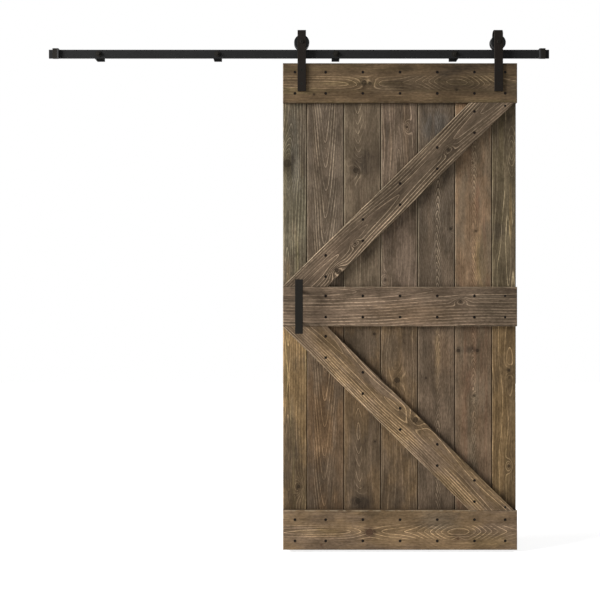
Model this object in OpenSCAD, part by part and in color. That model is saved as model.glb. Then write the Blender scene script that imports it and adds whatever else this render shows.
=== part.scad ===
// Sliding barn door: seven upright planks under three rails and two braces, hung from two
// grooved wheels that roll on a flat steel track.
// X runs along the track, Y points into the wall and Z is up. The origin lies on the wall
// plane, midway between the wall screws.

/* [Door] */
// Width of the door
door_w = 1027; // [960:1:1120]
// Height of the door
door_h = 2134; // [2000:1:2300]
// Distance along the track from its middle to the middle of the door
door_shift = 443; // [0:1:560]
// Open height between the track and the top of the door
door_drop = 24.5; // [15:0.5:40]

/* [Planks] */
// Width of a full plank, joint to joint
plank_pitch = 163; // [150:1:168]
// Thickness of a plank
plank_t = 17.5; // [15:0.5:22]
// Bevel along each front edge of a plank
plank_bevel = 4; // [1:0.25:5]
// Reach of the tongue on a plank's right edge
tongue_d = 7; // [5:0.5:9]
// Thickness of the tongue
tongue_t = 5.5; // [4:0.25:7]
// Open joint between neighbouring planks, and round the tongue
plank_gap = 0.4; // [0.2:0.1:1]

/* [Rails and braces] */
// Height of each rail
rail_h = 173; // [140:1:190]
// Thickness of the rails and braces
rail_t = 17.5; // [15:0.5:22]
// Width of a brace, square to its length
brace_w = 138; // [110:1:160]
// Distance from the head of a brace to the right edge of the door
brace_head_gap = 12; // [4:1:30]
// Length that the door's left edge cuts off the foot of a brace
brace_foot_cut = 3; // [1:0.5:8]
// Bevel along the front edges of rails and braces
board_bevel = 2.5; // [0.5:0.25:3]
// Open joint between the end of a brace and its rail
brace_joint = 0.5; // [0.2:0.1:1]

/* [Wood screws] */
// Diameter of the sunk head
screw_head_d = 10.4; // [8:0.1:11]
// Diameter of the shank
screw_d = 4.8; // [4:0.1:5.5]
// Length from the top of the head to the tip
screw_len = 28; // [24:0.5:29]
// Depth of the head under the face of the board
screw_sink = 1.2; // [0.5:0.1:2]
// Distance between the two screws of a pair
screw_pair = 93; // [70:1:105]
// Drop of a brace's last pair below its middle line
brace_pair_drop = 10; // [0:0.5:12]
// Distance from the rail to the single screw at the head of a brace
brace_end_screw = 14; // [10:0.5:20]

/* [Pull handle] */
// Length of the bar
handle_len = 236; // [200:1:280]
// Width of the bar
handle_w = 34; // [26:1:40]
// Thickness of the bar
handle_t = 8; // [6:0.5:10]
// Distance from the left edge of the door to the middle of the bar
handle_inset = 70.5; // [50:0.5:80]
// Distance between the two posts
post_pitch = 140; // [110:1:145]
// Diameter of a post
post_d = 16; // [13:0.5:20]
// Length of a post, which is the room for the fingers
post_len = 30; // [24:1:40]

/* [Track] */
// Length of the track
track_len = 2200; // [2180:1:2400]
// Height of the track
track_h = 38; // [34:0.5:42]
// Thickness of the track
track_t = 6; // [5:0.25:7]
// Distance from the left end of the track to its first wall screw
track_first_hole = 218; // [120:1:260]
// Distance between neighbouring wall screws
track_hole_pitch = 522; // [480:1:540]
// Length of a spacer, which is the track's distance from the wall
spacer_len = 36; // [32:0.5:45]
// Width and height of a spacer
spacer_w = 34; // [28:0.5:38]

/* [Wall screws] */
// Diameter of a wall screw
lag_d = 8; // [6:0.25:9]
// Diameter of a wall screw's threaded end, in the wall
lag_thread_d = 7.4; // [5.5:0.1:7.5]
// Length of a wall screw under its head
lag_len = 89; // [70:1:110]
// Width of the hexagon head across its flats
lag_head_af = 13; // [11:0.5:15]
// Height of the hexagon head
lag_head_h = 5.5; // [4:0.25:6]
// Diameter of the washer
lag_washer_d = 26; // [20:0.5:26]
// Thickness of the washer
lag_washer_t = 2.5; // [1.5:0.25:2.5]

/* [End stops] */
// Distance from the end of the track to its stop
stop_inset = 18.5; // [5:0.5:40]
// Width of a stop along the track
stop_w = 20; // [14:0.5:30]
// Thickness of the stop's front and back plates
stop_plate_t = 8; // [6:0.25:8.5]
// Height of the stop above the track
stop_rise = 3.5; // [3:0.25:8]
// Reach of the front plate below the track
stop_drop = 3; // [2:0.25:6]
// Reach of the back plate below the top of the track
stop_back_reach = 24; // [18:0.5:30]
// Diameter of the set screw in the back plate
set_screw_d = 6; // [5:0.25:8]
// Thickness of the rubber bumper
bumper_t = 6; // [4:0.25:10]

/* [Hanger straps] */
// Width of a strap
strap_w = 37; // [30:0.5:40]
// Thickness of a strap
strap_t = 6; // [5:0.25:7]
// Distance from the side of the door to the middle of a strap
hanger_inset = 82.5; // [70:0.5:90]
// Length of a strap that lies on the door
strap_lap = 124; // [105:1:160]
// Room between the top of the wheel and the bend of the strap
arch_room = 17; // [8:0.25:20]
// Reach of the strap's back leg below the axle
strap_back_reach = 15; // [12:0.5:20]
// Distance from the top of the door to the first strap bolt
strap_bolt_first = 32; // [25:1:40]
// Distance between the two strap bolts
strap_bolt_pitch = 60; // [45:1:65]
// Diameter of a strap bolt
strap_bolt_d = 8; // [6:0.25:8.5]
// Diameter of a strap bolt's flush head
strap_bolt_head_d = 15; // [12.5:0.25:16]

/* [Wheels] */
// Radius of a wheel over its flanges
wheel_r = 33.5; // [30:0.25:36]
// Width of a wheel
wheel_w = 22; // [20:0.5:26]
// Depth of the groove that runs on the track
groove_d = 4; // [3:0.25:4.5]
// Room beside the track in the groove, each side
groove_room = 1; // [0.6:0.1:1.5]
// Room between the wheel and the strap, each side
wheel_side_room = 3; // [2:0.25:5]
// Diameter of the axle bolt
axle_d = 10; // [8:0.25:10]
// Diameter of the axle bolt's low round head
axle_head_d = 16; // [14:0.5:20]
// Height of the axle bolt's head
axle_head_h = 2.5; // [2:0.25:4]
// Outer diameter of the bearing
bearing_d = 26; // [25:0.25:28]
// Width of the bearing
bearing_w = 8; // [7:0.25:9]
// Diameter of a bearing ball
ball_d = 4.75; // [4:0.25:5]

/* [Hidden] */
$fn = 64;
plank_count = 7;
ball_count = 7;
spacer_count = 4;

// Clearances: the wheel's tread above the track and its flange above spacers and washers,
// the balls in their races, round pieces in their holes, and the stop round the track
roll_gap = 0.3;
flange_gap = 1.3;
race_gap = 0.15;
fit_gap = 0.1;
stop_gap = 0.3;
// Length by which every cut runs past the faces that it opens
overrun = 1;
// Bevel along the edges of the steel bars
steel_bevel = 0.8;

// Small parts of the screws and bolts
screw_tip = 6;
screw_recess_len = 4.8;
screw_recess_w = 1.2;
screw_recess_d = 1.8;
lag_tip = 8;
strap_bolt_tail = 2;
strap_washer_d = 18;
strap_washer_t = 1.6;
strap_nut_af = 13;
strap_nut_h = 6.5;
socket_af = 5;
socket_d = 2.2;
axle_socket_af = 6;
axle_socket_d = 1.6;
axle_nut_af = 16;
axle_nut_h = 7.5;
axle_tail = 2;
head_bevel = 0.8;
hex_face_share = 0.95;
hex_chamfer_angle = 30;
set_screw_socket_af = 3;
set_screw_socket_d = 3;
handle_bolt_d = 6;
handle_bolt_head_d = 11;
handle_bolt_head_h = 3.3;
handle_bolt_grip = 16;
handle_bolt_room = 2;
handle_washer_d = 16;
handle_washer_t = 1.6;

// Small parts of the wheel and its bearing
wheel_rim_bevel = 1;
wheel_rim_t = 2.5;
wheel_hub_w = 4;
wheel_recess = 1.5;
wheel_shoulder = 2;
groove_draft = 0.75;
race_share = 0.3;
bush_wall = 2;

// Depth of the pieces, from the wall forward
track_back_y = -spacer_len;
track_front_y = track_back_y - track_t;
wheel_y = track_back_y - track_t / 2;
strap_half_room = wheel_w / 2 + wheel_side_room;
door_front_y = wheel_y - strap_half_room;
strap_front_y = door_front_y - strap_t;
plank_front_y = door_front_y + rail_t;
plank_back_y = plank_front_y + plank_t;
strap_back_y = wheel_y + strap_half_room;
handle_front_y = door_front_y - post_len - handle_t;

// Places along the track
pattern_len = (spacer_count - 1) * track_hole_pitch;
track_left = -pattern_len / 2 - track_first_hole;
track_right = track_left + track_len;
door_mid_x = track_left + track_len / 2 + door_shift;
door_left = door_mid_x - door_w / 2;
door_right = door_mid_x + door_w / 2;
hanger_xs = [door_left + hanger_inset, door_right - hanger_inset];
spacer_xs = [for (i = [0 : spacer_count - 1]) i * track_hole_pitch - pattern_len / 2];
handle_x = door_left + handle_inset;

// Heights
tread_r = wheel_r - groove_d;
axle_z = track_h / 2 + roll_gap + tread_r;
spacer_top = axle_z - wheel_r - flange_gap;
arch_z = axle_z + wheel_r + arch_room - strap_half_room;
door_top = -track_h / 2 - door_drop;
door_bottom = door_top - door_h;
door_mid_z = (door_top + door_bottom) / 2;
top_rail_bottom = door_top - rail_h;
middle_rail_top = door_mid_z + rail_h / 2;
strap_bottom = door_top - strap_lap;

// Planks: five full ones between two narrower edge planks
edge_plank_w = (door_w - (plank_count - 2) * plank_pitch) / 2;
function is_edge(n) = n == 1 || n == plank_count;
function plank_left(n) = n == 1 ? door_left : door_left + edge_plank_w + (n - 2) * plank_pitch;
function plank_width(n) = is_edge(n) ? edge_plank_w : plank_pitch;
function plank_mid(n) = plank_left(n) + plank_width(n) / 2;

// Brace: it fills the field between two rails, and its foot and head set its slope
field_h = top_rail_bottom - middle_rail_top;
brace_run = door_w + brace_foot_cut - brace_head_gap;
brace_angle = asin(brace_w / norm([brace_run, field_h])) + atan2(field_h, brace_run);
brace_cut = brace_w / sin(brace_angle);
brace_head_x = door_right - brace_head_gap - brace_cut / 2;
brace_mid_x = brace_head_x - field_h / tan(brace_angle) / 2;
brace_mid_z = (top_rail_bottom + middle_rail_top) / 2;
brace_len = field_h / sin(brace_angle) + 2 * brace_w;
function brace_line(x) = top_rail_bottom - (brace_head_x - x) * tan(brace_angle);
function flip_z(points) = [for (p = points) [p[0], 2 * door_mid_z - p[1]]];

// Places of the screws and bolts on the door, as [x, z]
function rail_screws(z, first) = [
    for (n = [first : plank_count], side = [-1, 1]) [plank_mid(n), z + side * screw_pair / 2]
];
function brace_pair_mid(n) =
    brace_line(plank_mid(n)) - brace_pair_drop * (n - 2) / (plank_count - 3);
function strap_bolt_pair(x) = [for (i = [0, 1]) [x, door_top - strap_bolt_first - i * strap_bolt_pitch]];
top_screws = rail_screws(door_top - rail_h / 2, 1);
middle_screws = rail_screws(door_mid_z, 2);
bottom_screws = rail_screws(door_bottom + rail_h / 2, 1);
upper_brace_screw_places = [
    for (n = [2 : plank_count - 1], side = [-1, 1])
        [plank_mid(n), brace_pair_mid(n) + side * screw_pair / 2],
    [plank_mid(plank_count), top_rail_bottom - brace_end_screw]
];
lower_brace_screw_places = flip_z(upper_brace_screw_places);
wood_screws = concat(
    top_screws, middle_screws, bottom_screws, upper_brace_screw_places, lower_brace_screw_places
);
strap_bolt_places = [for (x = hanger_xs) each strap_bolt_pair(x)];
handle_bolt_places = [for (side = [-1, 1]) [handle_x, door_mid_z + side * post_pitch / 2]];

// Bolt lengths follow from what they hold
lag_plain_len = lag_washer_t + track_t + spacer_len;
strap_bolt_len = strap_t + rail_t + plank_t + strap_washer_t + strap_nut_h + strap_bolt_tail;
handle_bolt_len = handle_washer_t + plank_t + rail_t + handle_bolt_grip;
axle_len = 2 * strap_half_room + 2 * strap_t + axle_nut_h + axle_tail;
bush_len = strap_half_room - bearing_w / 2;
race_r = (axle_d + bearing_d) / 4;

wood_colour = [0.40, 0.34, 0.27];
rail_colour = [0.41, 0.35, 0.28];
brace_colour = [0.44, 0.37, 0.29];
black_steel = [0.16, 0.15, 0.14];
black_nylon = [0.13, 0.13, 0.13];
black_rubber = [0.07, 0.07, 0.07];
bearing_steel = [0.62, 0.62, 0.64];

// Shared shapes

// Turns a shape so that its +Z points into the wall
module into_wall() {
    rotate([-90, 0, 0]) children();
}

// Extrudes a section drawn in depth and height along the track
module along_track(length) {
    rotate([90, 0, 90]) linear_extrude(length) children();
}

// Repeats a shape at places on the door, at one depth, pointing into the wall
module at_places(places, y) {
    for (p = places) translate([p[0], y, p[1]]) into_wall() children();
}

function hex_r(flats) = flats / 2 / cos(30);

// Rectangle about the origin with every corner bevelled
module bevelled_bar(size, bevel) {
    half = size / 2;
    inner = [half[0] - bevel, half[1] - bevel];
    polygon([
        [-inner[0], -half[1]], [inner[0], -half[1]], [half[0], -inner[1]], [half[0], inner[1]],
        [inner[0], half[1]], [-inner[0], half[1]], [-half[0], inner[1]], [-half[0], -inner[1]]
    ]);
}

// Board section, depth by height: bevelled at the front, square where it lies on the planks
module board_section(height) {
    polygon([
        [plank_front_y, -height / 2], [plank_front_y, height / 2],
        [door_front_y + board_bevel, height / 2], [door_front_y, height / 2 - board_bevel],
        [door_front_y, board_bevel - height / 2], [door_front_y + board_bevel, -height / 2]
    ]);
}

// Plain ring standing on the origin
module ring(outer_d, inner_d, height) {
    difference() {
        cylinder(d = outer_d, h = height);
        translate([0, 0, -overrun]) cylinder(d = inner_d, h = height + 2 * overrun);
    }
}

// Hexagon standing on the origin, its corners chamfered at the top or at both ends
module hexagon(flats, height, both_ends) {
    face_r = flats / 2 * hex_face_share;
    rim_r = hex_r(flats) + overrun;
    slant = (rim_r - face_r) * tan(hex_chamfer_angle);
    intersection() {
        cylinder(r = hex_r(flats), h = height, $fn = 6);
        rotate_extrude() polygon([
            [0, 0], [both_ends ? face_r : rim_r, 0], if (both_ends) [rim_r, slant],
            [rim_r, height - slant], [face_r, height], [0, height]
        ]);
    }
}

// Hexagon nut standing on the origin
module hex_nut(flats, bore_d, height) {
    difference() {
        hexagon(flats, height, true);
        translate([0, 0, -overrun]) cylinder(d = bore_d, h = height + 2 * overrun);
    }
}

// Round bolt head standing on the origin, its top edge bevelled
module round_head(head_d, height) {
    rotate_extrude() polygon([
        [0, 0], [head_d / 2, 0], [head_d / 2, height - head_bevel],
        [head_d / 2 - head_bevel, height], [0, height]
    ]);
}

// Countersunk shape: a mouth, a cone and a shank, from the top of the head down
module sunk_shape(head_d, shank_d, mouth, length, tip) {
    cone_h = (head_d - shank_d) / 2;
    rotate_extrude() polygon([
        [0, -mouth], [head_d / 2, -mouth], if (mouth > 0) [head_d / 2, 0],
        [shank_d / 2, cone_h], [shank_d / 2, length - tip], [0, length]
    ]);
}

// Planks

// Plan of one plank: a groove in its left edge, a tongue on its right edge, bevelled in front
module plank_section(w, has_groove, has_tongue) {
    left = has_groove ? plank_gap / 2 : 0;
    right = w - (has_tongue ? plank_gap / 2 : 0);
    tongue_y = (plank_front_y + plank_bevel + plank_back_y) / 2;
    difference() {
        union() {
            polygon([
                [left, plank_back_y], [left, plank_front_y + plank_bevel],
                [left + plank_bevel, plank_front_y], [right - plank_bevel, plank_front_y],
                [right, plank_front_y + plank_bevel], [right, plank_back_y]
            ]);
            if (has_tongue)
                translate([right - overrun, tongue_y - tongue_t / 2])
                    square([tongue_d + overrun, tongue_t]);
        }
        if (has_groove)
            translate([left - overrun, tongue_y - tongue_t / 2 - plank_gap])
                square([tongue_d + overrun, tongue_t + 2 * plank_gap]);
    }
}

module plank(n) {
    near = plank_width(n) / 2 + strap_bolt_d;
    own_screws = [for (p = wood_screws) if (abs(p[0] - plank_mid(n)) < near) p];
    own_bolts = [for (p = strap_bolt_places) if (abs(p[0] - plank_mid(n)) < near) p];
    own_handle_bolts = [for (p = handle_bolt_places) if (abs(p[0] - plank_mid(n)) < near) p];
    color(wood_colour) difference() {
        translate([plank_left(n), 0, door_bottom])
            linear_extrude(door_h) plank_section(plank_width(n), n > 1, n < plank_count);
        wood_screw_holes(own_screws);
        strap_bolt_holes(own_bolts);
        handle_bolt_holes(own_handle_bolts);
    }
}

// Rails and braces

// One rail, cut to the door's width, about its own middle height
module rail_board(z) {
    intersection() {
        translate([door_left, 0, z]) along_track(door_w) board_section(rail_h);
        translate([door_mid_x, 0, z - rail_h / 2]) linear_extrude(rail_h) rail_plan();
    }
}

// Plan of a rail, bevelled at both ends of its front
module rail_plan() {
    polygon([
        [-door_w / 2, plank_front_y], [-door_w / 2, door_front_y + board_bevel],
        [board_bevel - door_w / 2, door_front_y], [door_w / 2 - board_bevel, door_front_y],
        [door_w / 2, door_front_y + board_bevel], [door_w / 2, plank_front_y]
    ]);
}

module top_rail() {
    color(rail_colour) difference() {
        rail_board(door_top - rail_h / 2);
        wood_screw_holes(top_screws);
        strap_bolt_holes(strap_bolt_places);
    }
}

module middle_rail() {
    color(rail_colour) difference() {
        rail_board(door_mid_z);
        wood_screw_holes(middle_screws);
        handle_bolt_holes(handle_bolt_places);
    }
}

module bottom_rail() {
    color(rail_colour) difference() {
        rail_board(door_bottom + rail_h / 2);
        wood_screw_holes(bottom_screws);
    }
}

// Slanting board, trimmed by the rails above and below it and by the door's left edge
module brace_board() {
    intersection() {
        translate([brace_mid_x, 0, brace_mid_z]) rotate([0, -brace_angle, 0])
            translate([-brace_len / 2, 0, 0]) along_track(brace_len) board_section(brace_w);
        translate([door_left, door_front_y - overrun, middle_rail_top + brace_joint])
            cube([door_w, rail_t + 2 * overrun, field_h - 2 * brace_joint]);
    }
}

module upper_brace() {
    color(brace_colour) difference() {
        brace_board();
        wood_screw_holes(upper_brace_screw_places);
    }
}

module lower_brace() {
    color(brace_colour) difference() {
        translate([0, 0, 2 * door_mid_z]) mirror([0, 0, 1]) brace_board();
        wood_screw_holes(lower_brace_screw_places);
    }
}

// Wood screws: sunk heads with a cross recess, through a board and into the planks

module wood_screw() {
    difference() {
        sunk_shape(screw_head_d, screw_d, 0, screw_len, screw_tip);
        for (turn = [0, 90]) rotate(turn)
            translate([-screw_recess_len / 2, -screw_recess_w / 2, -overrun])
                cube([screw_recess_len, screw_recess_w, screw_recess_d + overrun]);
    }
}

module wood_screws_at(places) {
    color(black_steel) at_places(places, door_front_y + screw_sink) wood_screw();
}

module wood_screw_holes(places) {
    at_places(places, door_front_y + screw_sink)
        sunk_shape(
            screw_head_d + 2 * fit_gap, screw_d + 2 * fit_gap,
            screw_sink + overrun, screw_len + fit_gap, 0
        );
}

// Pull handle: a flat bar on two round posts, bolted through the middle rail from behind

module handle_bar() {
    color(black_steel) translate([handle_x, handle_front_y + handle_t / 2, door_mid_z - handle_len / 2])
        linear_extrude(handle_len) bevelled_bar([handle_w, handle_t], steel_bevel);
}

module handle_posts() {
    color(black_steel) at_places(handle_bolt_places, door_front_y - post_len) difference() {
        cylinder(d = post_d, h = post_len);
        translate([0, 0, post_len - handle_bolt_grip - handle_bolt_room])
            cylinder(d = handle_bolt_d + 2 * fit_gap, h = post_len);
    }
}

module handle_bolts() {
    color(black_steel) at_places(handle_bolt_places, plank_back_y + handle_washer_t) difference() {
        union() {
            round_head(handle_bolt_head_d, handle_bolt_head_h);
            translate([0, 0, -handle_bolt_len]) cylinder(d = handle_bolt_d, h = handle_bolt_len);
        }
        translate([0, 0, handle_bolt_head_h - socket_d])
            cylinder(r = hex_r(socket_af), h = socket_d + overrun, $fn = 6);
    }
}

module handle_washers() {
    color(black_steel) at_places(handle_bolt_places, plank_back_y)
        ring(handle_washer_d, handle_bolt_d + 2 * fit_gap, handle_washer_t);
}

module handle_bolt_holes(places) {
    at_places(places, door_front_y - overrun)
        cylinder(d = handle_bolt_d + 2 * fit_gap, h = rail_t + plank_t + 2 * overrun);
}

// Track, spacers and wall screws

module track() {
    color(black_steel) difference() {
        translate([track_left, wheel_y, 0])
            along_track(track_len) bevelled_bar([track_t, track_h], steel_bevel);
        for (x = spacer_xs) translate([x, track_front_y - overrun, 0]) into_wall()
            cylinder(d = lag_d + 2 * fit_gap, h = track_t + 2 * overrun);
    }
}

// Square blocks, set low so that the wheels' rear flanges pass above them
module track_spacers() {
    color(black_steel) for (x = spacer_xs) difference() {
        translate([x, 0, spacer_top - spacer_w / 2]) rotate([90, 0, 0])
            linear_extrude(spacer_len) bevelled_bar([spacer_w, spacer_w], steel_bevel);
        translate([x, track_back_y - overrun, 0]) into_wall()
            cylinder(d = lag_d + 2 * fit_gap, h = spacer_len + 2 * overrun);
    }
}

// Long screws with hexagon heads, whose free ends go into the wall
module wall_screws() {
    color(black_steel) for (x = spacer_xs)
        translate([x, track_front_y - lag_washer_t, 0]) into_wall() {
            mirror([0, 0, 1]) hexagon(lag_head_af, lag_head_h, false);
            cylinder(d = lag_d, h = lag_plain_len);
            cylinder(d = lag_thread_d, h = lag_len - lag_tip);
            translate([0, 0, lag_len - lag_tip]) cylinder(d1 = lag_thread_d, d2 = 0, h = lag_tip);
        }
}

module wall_washers() {
    color(black_steel) for (x = spacer_xs)
        translate([x, track_front_y - lag_washer_t, 0]) into_wall()
            ring(lag_washer_d, lag_d + 2 * fit_gap, lag_washer_t);
}

// End stops: a clip over the track, a set screw behind it and a rubber bumper on its inner face

// Section of a stop, depth by height: front plate, bridge over the track and short back plate
module stop_section() {
    front = track_front_y - stop_plate_t;
    back = track_back_y + stop_plate_t;
    top = track_h / 2 + stop_rise;
    inner_top = track_h / 2 + stop_gap;
    polygon([
        [front, -track_h / 2 - stop_drop], [front, top], [back, top],
        [back, track_h / 2 - stop_back_reach], [track_back_y + stop_gap, track_h / 2 - stop_back_reach],
        [track_back_y + stop_gap, inner_top], [track_front_y - stop_gap, inner_top],
        [track_front_y - stop_gap, -track_h / 2 - stop_drop]
    ]);
}

// Place of a stop's outer face, and the middle height of its set screw
function stop_left(side) = side < 0 ? track_left + stop_inset : track_right - stop_inset - stop_w;
set_screw_z = track_h / 2 - stop_back_reach / 2;

module end_stop(side) {
    color(black_steel) difference() {
        translate([stop_left(side), 0, 0]) along_track(stop_w) stop_section();
        translate([stop_left(side) + stop_w / 2, track_back_y, set_screw_z]) into_wall()
            cylinder(d = set_screw_d + 2 * fit_gap, h = stop_plate_t + overrun);
    }
}

module bumper(side) {
    left = side < 0 ? stop_left(side) + stop_w : stop_left(side) - bumper_t;
    color(black_rubber) translate([left, 0, 0]) along_track(bumper_t) stop_section();
}

module end_stop_set_screws() {
    color(black_steel) for (side = [-1, 1])
        translate([stop_left(side) + stop_w / 2, track_back_y, set_screw_z]) into_wall()
            difference() {
                cylinder(d = set_screw_d, h = stop_plate_t);
                translate([0, 0, stop_plate_t - set_screw_socket_d])
                    cylinder(r = hex_r(set_screw_socket_af), h = set_screw_socket_d + overrun, $fn = 6);
            }
}

// Hanger straps: one flat bar up the door's face, over the wheel and down behind it

module strap_bar() {
    bar_mid = strap_half_room + strap_t / 2;
    translate([0, wheel_y - bar_mid, strap_bottom])
        linear_extrude(arch_z - strap_bottom) bevelled_bar([strap_w, strap_t], steel_bevel);
    translate([0, wheel_y, arch_z]) rotate([0, 90, 0]) rotate(90) rotate_extrude(angle = 180)
        translate([bar_mid, 0]) bevelled_bar([strap_t, strap_w], steel_bevel);
    translate([0, wheel_y + bar_mid, axle_z - strap_back_reach])
        linear_extrude(arch_z - axle_z + strap_back_reach) bevelled_bar([strap_w, strap_t], steel_bevel);
}

module hanger_strap(x) {
    color(black_steel) difference() {
        translate([x, 0, 0]) strap_bar();
        strap_bolt_holes(strap_bolt_pair(x));
        translate([x, strap_front_y - overrun, axle_z]) into_wall()
            cylinder(d = axle_d + 2 * fit_gap, h = 2 * (strap_half_room + strap_t + overrun));
    }
}

// Strap bolts: flush heads in the strap, nuts and washers behind the planks

module strap_bolts() {
    color(black_steel) at_places(strap_bolt_places, strap_front_y) difference() {
        sunk_shape(strap_bolt_head_d, strap_bolt_d, 0, strap_bolt_len, 0);
        translate([0, 0, -overrun])
            cylinder(r = hex_r(socket_af), h = socket_d + overrun, $fn = 6);
    }
}

module strap_bolt_holes(places) {
    at_places(places, strap_front_y)
        sunk_shape(
            strap_bolt_head_d + 2 * fit_gap, strap_bolt_d + 2 * fit_gap,
            overrun, strap_t + rail_t + plank_t + overrun, 0
        );
}

module strap_washers() {
    color(black_steel) at_places(strap_bolt_places, plank_back_y)
        ring(strap_washer_d, strap_bolt_d + 2 * fit_gap, strap_washer_t);
}

module strap_nuts() {
    color(black_steel) at_places(strap_bolt_places, plank_back_y + strap_washer_t)
        hex_nut(strap_nut_af, strap_bolt_d + 2 * fit_gap, strap_nut_h);
}

// Wheels: a grooved wheel on a ball bearing, an axle bolt through the strap and two bushes

// Places a turned piece on a wheel's axle, with its +Z into the wall
module on_axle(x) {
    translate([x, wheel_y, axle_z]) into_wall() children();
}

module axle_bolt(x) {
    color(black_steel) translate([x, strap_front_y, axle_z]) into_wall() difference() {
        union() {
            mirror([0, 0, 1]) round_head(axle_head_d, axle_head_h);
            cylinder(d = axle_d, h = axle_len);
        }
        translate([0, 0, -axle_head_h - overrun])
            cylinder(r = hex_r(axle_socket_af), h = axle_socket_d + overrun, $fn = 6);
    }
}

module axle_nuts() {
    color(black_steel) for (x = hanger_xs)
        translate([x, strap_back_y + strap_t, axle_z]) into_wall()
            hex_nut(axle_nut_af, axle_d + 2 * fit_gap, axle_nut_h);
}

module axle_bushes() {
    color(black_steel) for (x = hanger_xs, from = [-strap_half_room, bearing_w / 2])
        on_axle(x) translate([0, 0, from])
            ring(axle_d + 2 * bush_wall, axle_d + 2 * fit_gap, bush_len);
}

// Half section of the wheel: flanges, groove, recessed sides, and a bearing seat with a shoulder
module wheel_section() {
    half = wheel_w / 2;
    seat_r = bearing_d / 2 + fit_gap;
    shoulder_r = bearing_d / 2 - wheel_shoulder;
    hub_r = bearing_d / 2 + wheel_hub_w;
    rim_r = tread_r - wheel_rim_t;
    groove_half = track_t / 2 + groove_room;
    polygon([
        [shoulder_r, half], [hub_r, half], [hub_r, half - wheel_recess],
        [rim_r, half - wheel_recess], [rim_r, half],
        [wheel_r - wheel_rim_bevel, half], [wheel_r, half - wheel_rim_bevel],
        [wheel_r, groove_half + groove_draft], [tread_r, groove_half],
        [tread_r, -groove_half], [wheel_r, -groove_half - groove_draft],
        [wheel_r, wheel_rim_bevel - half], [wheel_r - wheel_rim_bevel, -half],
        [rim_r, -half], [rim_r, wheel_recess - half],
        [hub_r, wheel_recess - half], [hub_r, -half],
        [seat_r, -half], [seat_r, bearing_w / 2], [shoulder_r, bearing_w / 2]
    ]);
}

module wheel(x) {
    color(black_nylon) on_axle(x) rotate_extrude() wheel_section();
}

// One bearing ring between two diameters, with the balls' race turned into it
module bearing_ring(inner_d, outer_d) {
    difference() {
        translate([0, 0, -bearing_w / 2]) ring(outer_d, inner_d, bearing_w);
        rotate_extrude() translate([race_r, 0]) circle(d = ball_d + 2 * race_gap);
    }
}

module bearing_outer_ring(x) {
    color(bearing_steel) on_axle(x)
        bearing_ring(2 * race_r + 2 * race_share * ball_d, bearing_d);
}

module bearing_inner_ring(x) {
    color(bearing_steel) on_axle(x)
        bearing_ring(axle_d + 2 * fit_gap, 2 * race_r - 2 * race_share * ball_d);
}

module bearing_balls(x) {
    color(bearing_steel) on_axle(x) for (i = [0 : ball_count - 1])
        rotate(i * 360 / ball_count) translate([race_r, 0, 0]) sphere(d = ball_d);
}

for (n = [1 : plank_count]) plank(n);
top_rail();
middle_rail();
bottom_rail();
upper_brace();
lower_brace();
wood_screws_at(top_screws);  // top_rail_screws
wood_screws_at(middle_screws);  // middle_rail_screws
wood_screws_at(bottom_screws);  // bottom_rail_screws
wood_screws_at(upper_brace_screw_places);  // upper_brace_screws
wood_screws_at(lower_brace_screw_places);  // lower_brace_screws
handle_bar();
handle_posts();
handle_bolts();
handle_washers();
track();
track_spacers();
wall_screws();
wall_washers();
end_stop(-1);  // left_end_stop
end_stop(1);  // right_end_stop
bumper(-1);  // left_bumper
bumper(1);  // right_bumper
end_stop_set_screws();
hanger_strap(hanger_xs[0]);  // left_hanger_strap
hanger_strap(hanger_xs[1]);  // right_hanger_strap
strap_bolts();
strap_washers();
strap_nuts();
axle_bolt(hanger_xs[0]);  // left_axle_bolt
axle_bolt(hanger_xs[1]);  // right_axle_bolt
axle_nuts();
axle_bushes();
wheel(hanger_xs[0]);  // left_wheel
wheel(hanger_xs[1]);  // right_wheel
bearing_outer_ring(hanger_xs[0]);  // left_bearing_outer_ring
bearing_outer_ring(hanger_xs[1]);  // right_bearing_outer_ring
bearing_balls(hanger_xs[0]);  // left_bearing_balls
bearing_balls(hanger_xs[1]);  // right_bearing_balls
bearing_inner_ring(hanger_xs[0]);  // left_bearing_inner_ring
bearing_inner_ring(hanger_xs[1]);  // right_bearing_inner_ring
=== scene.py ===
"""Looks of a sliding barn door: stained, brushed pine boards on black steel track hardware."""
import math

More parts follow.
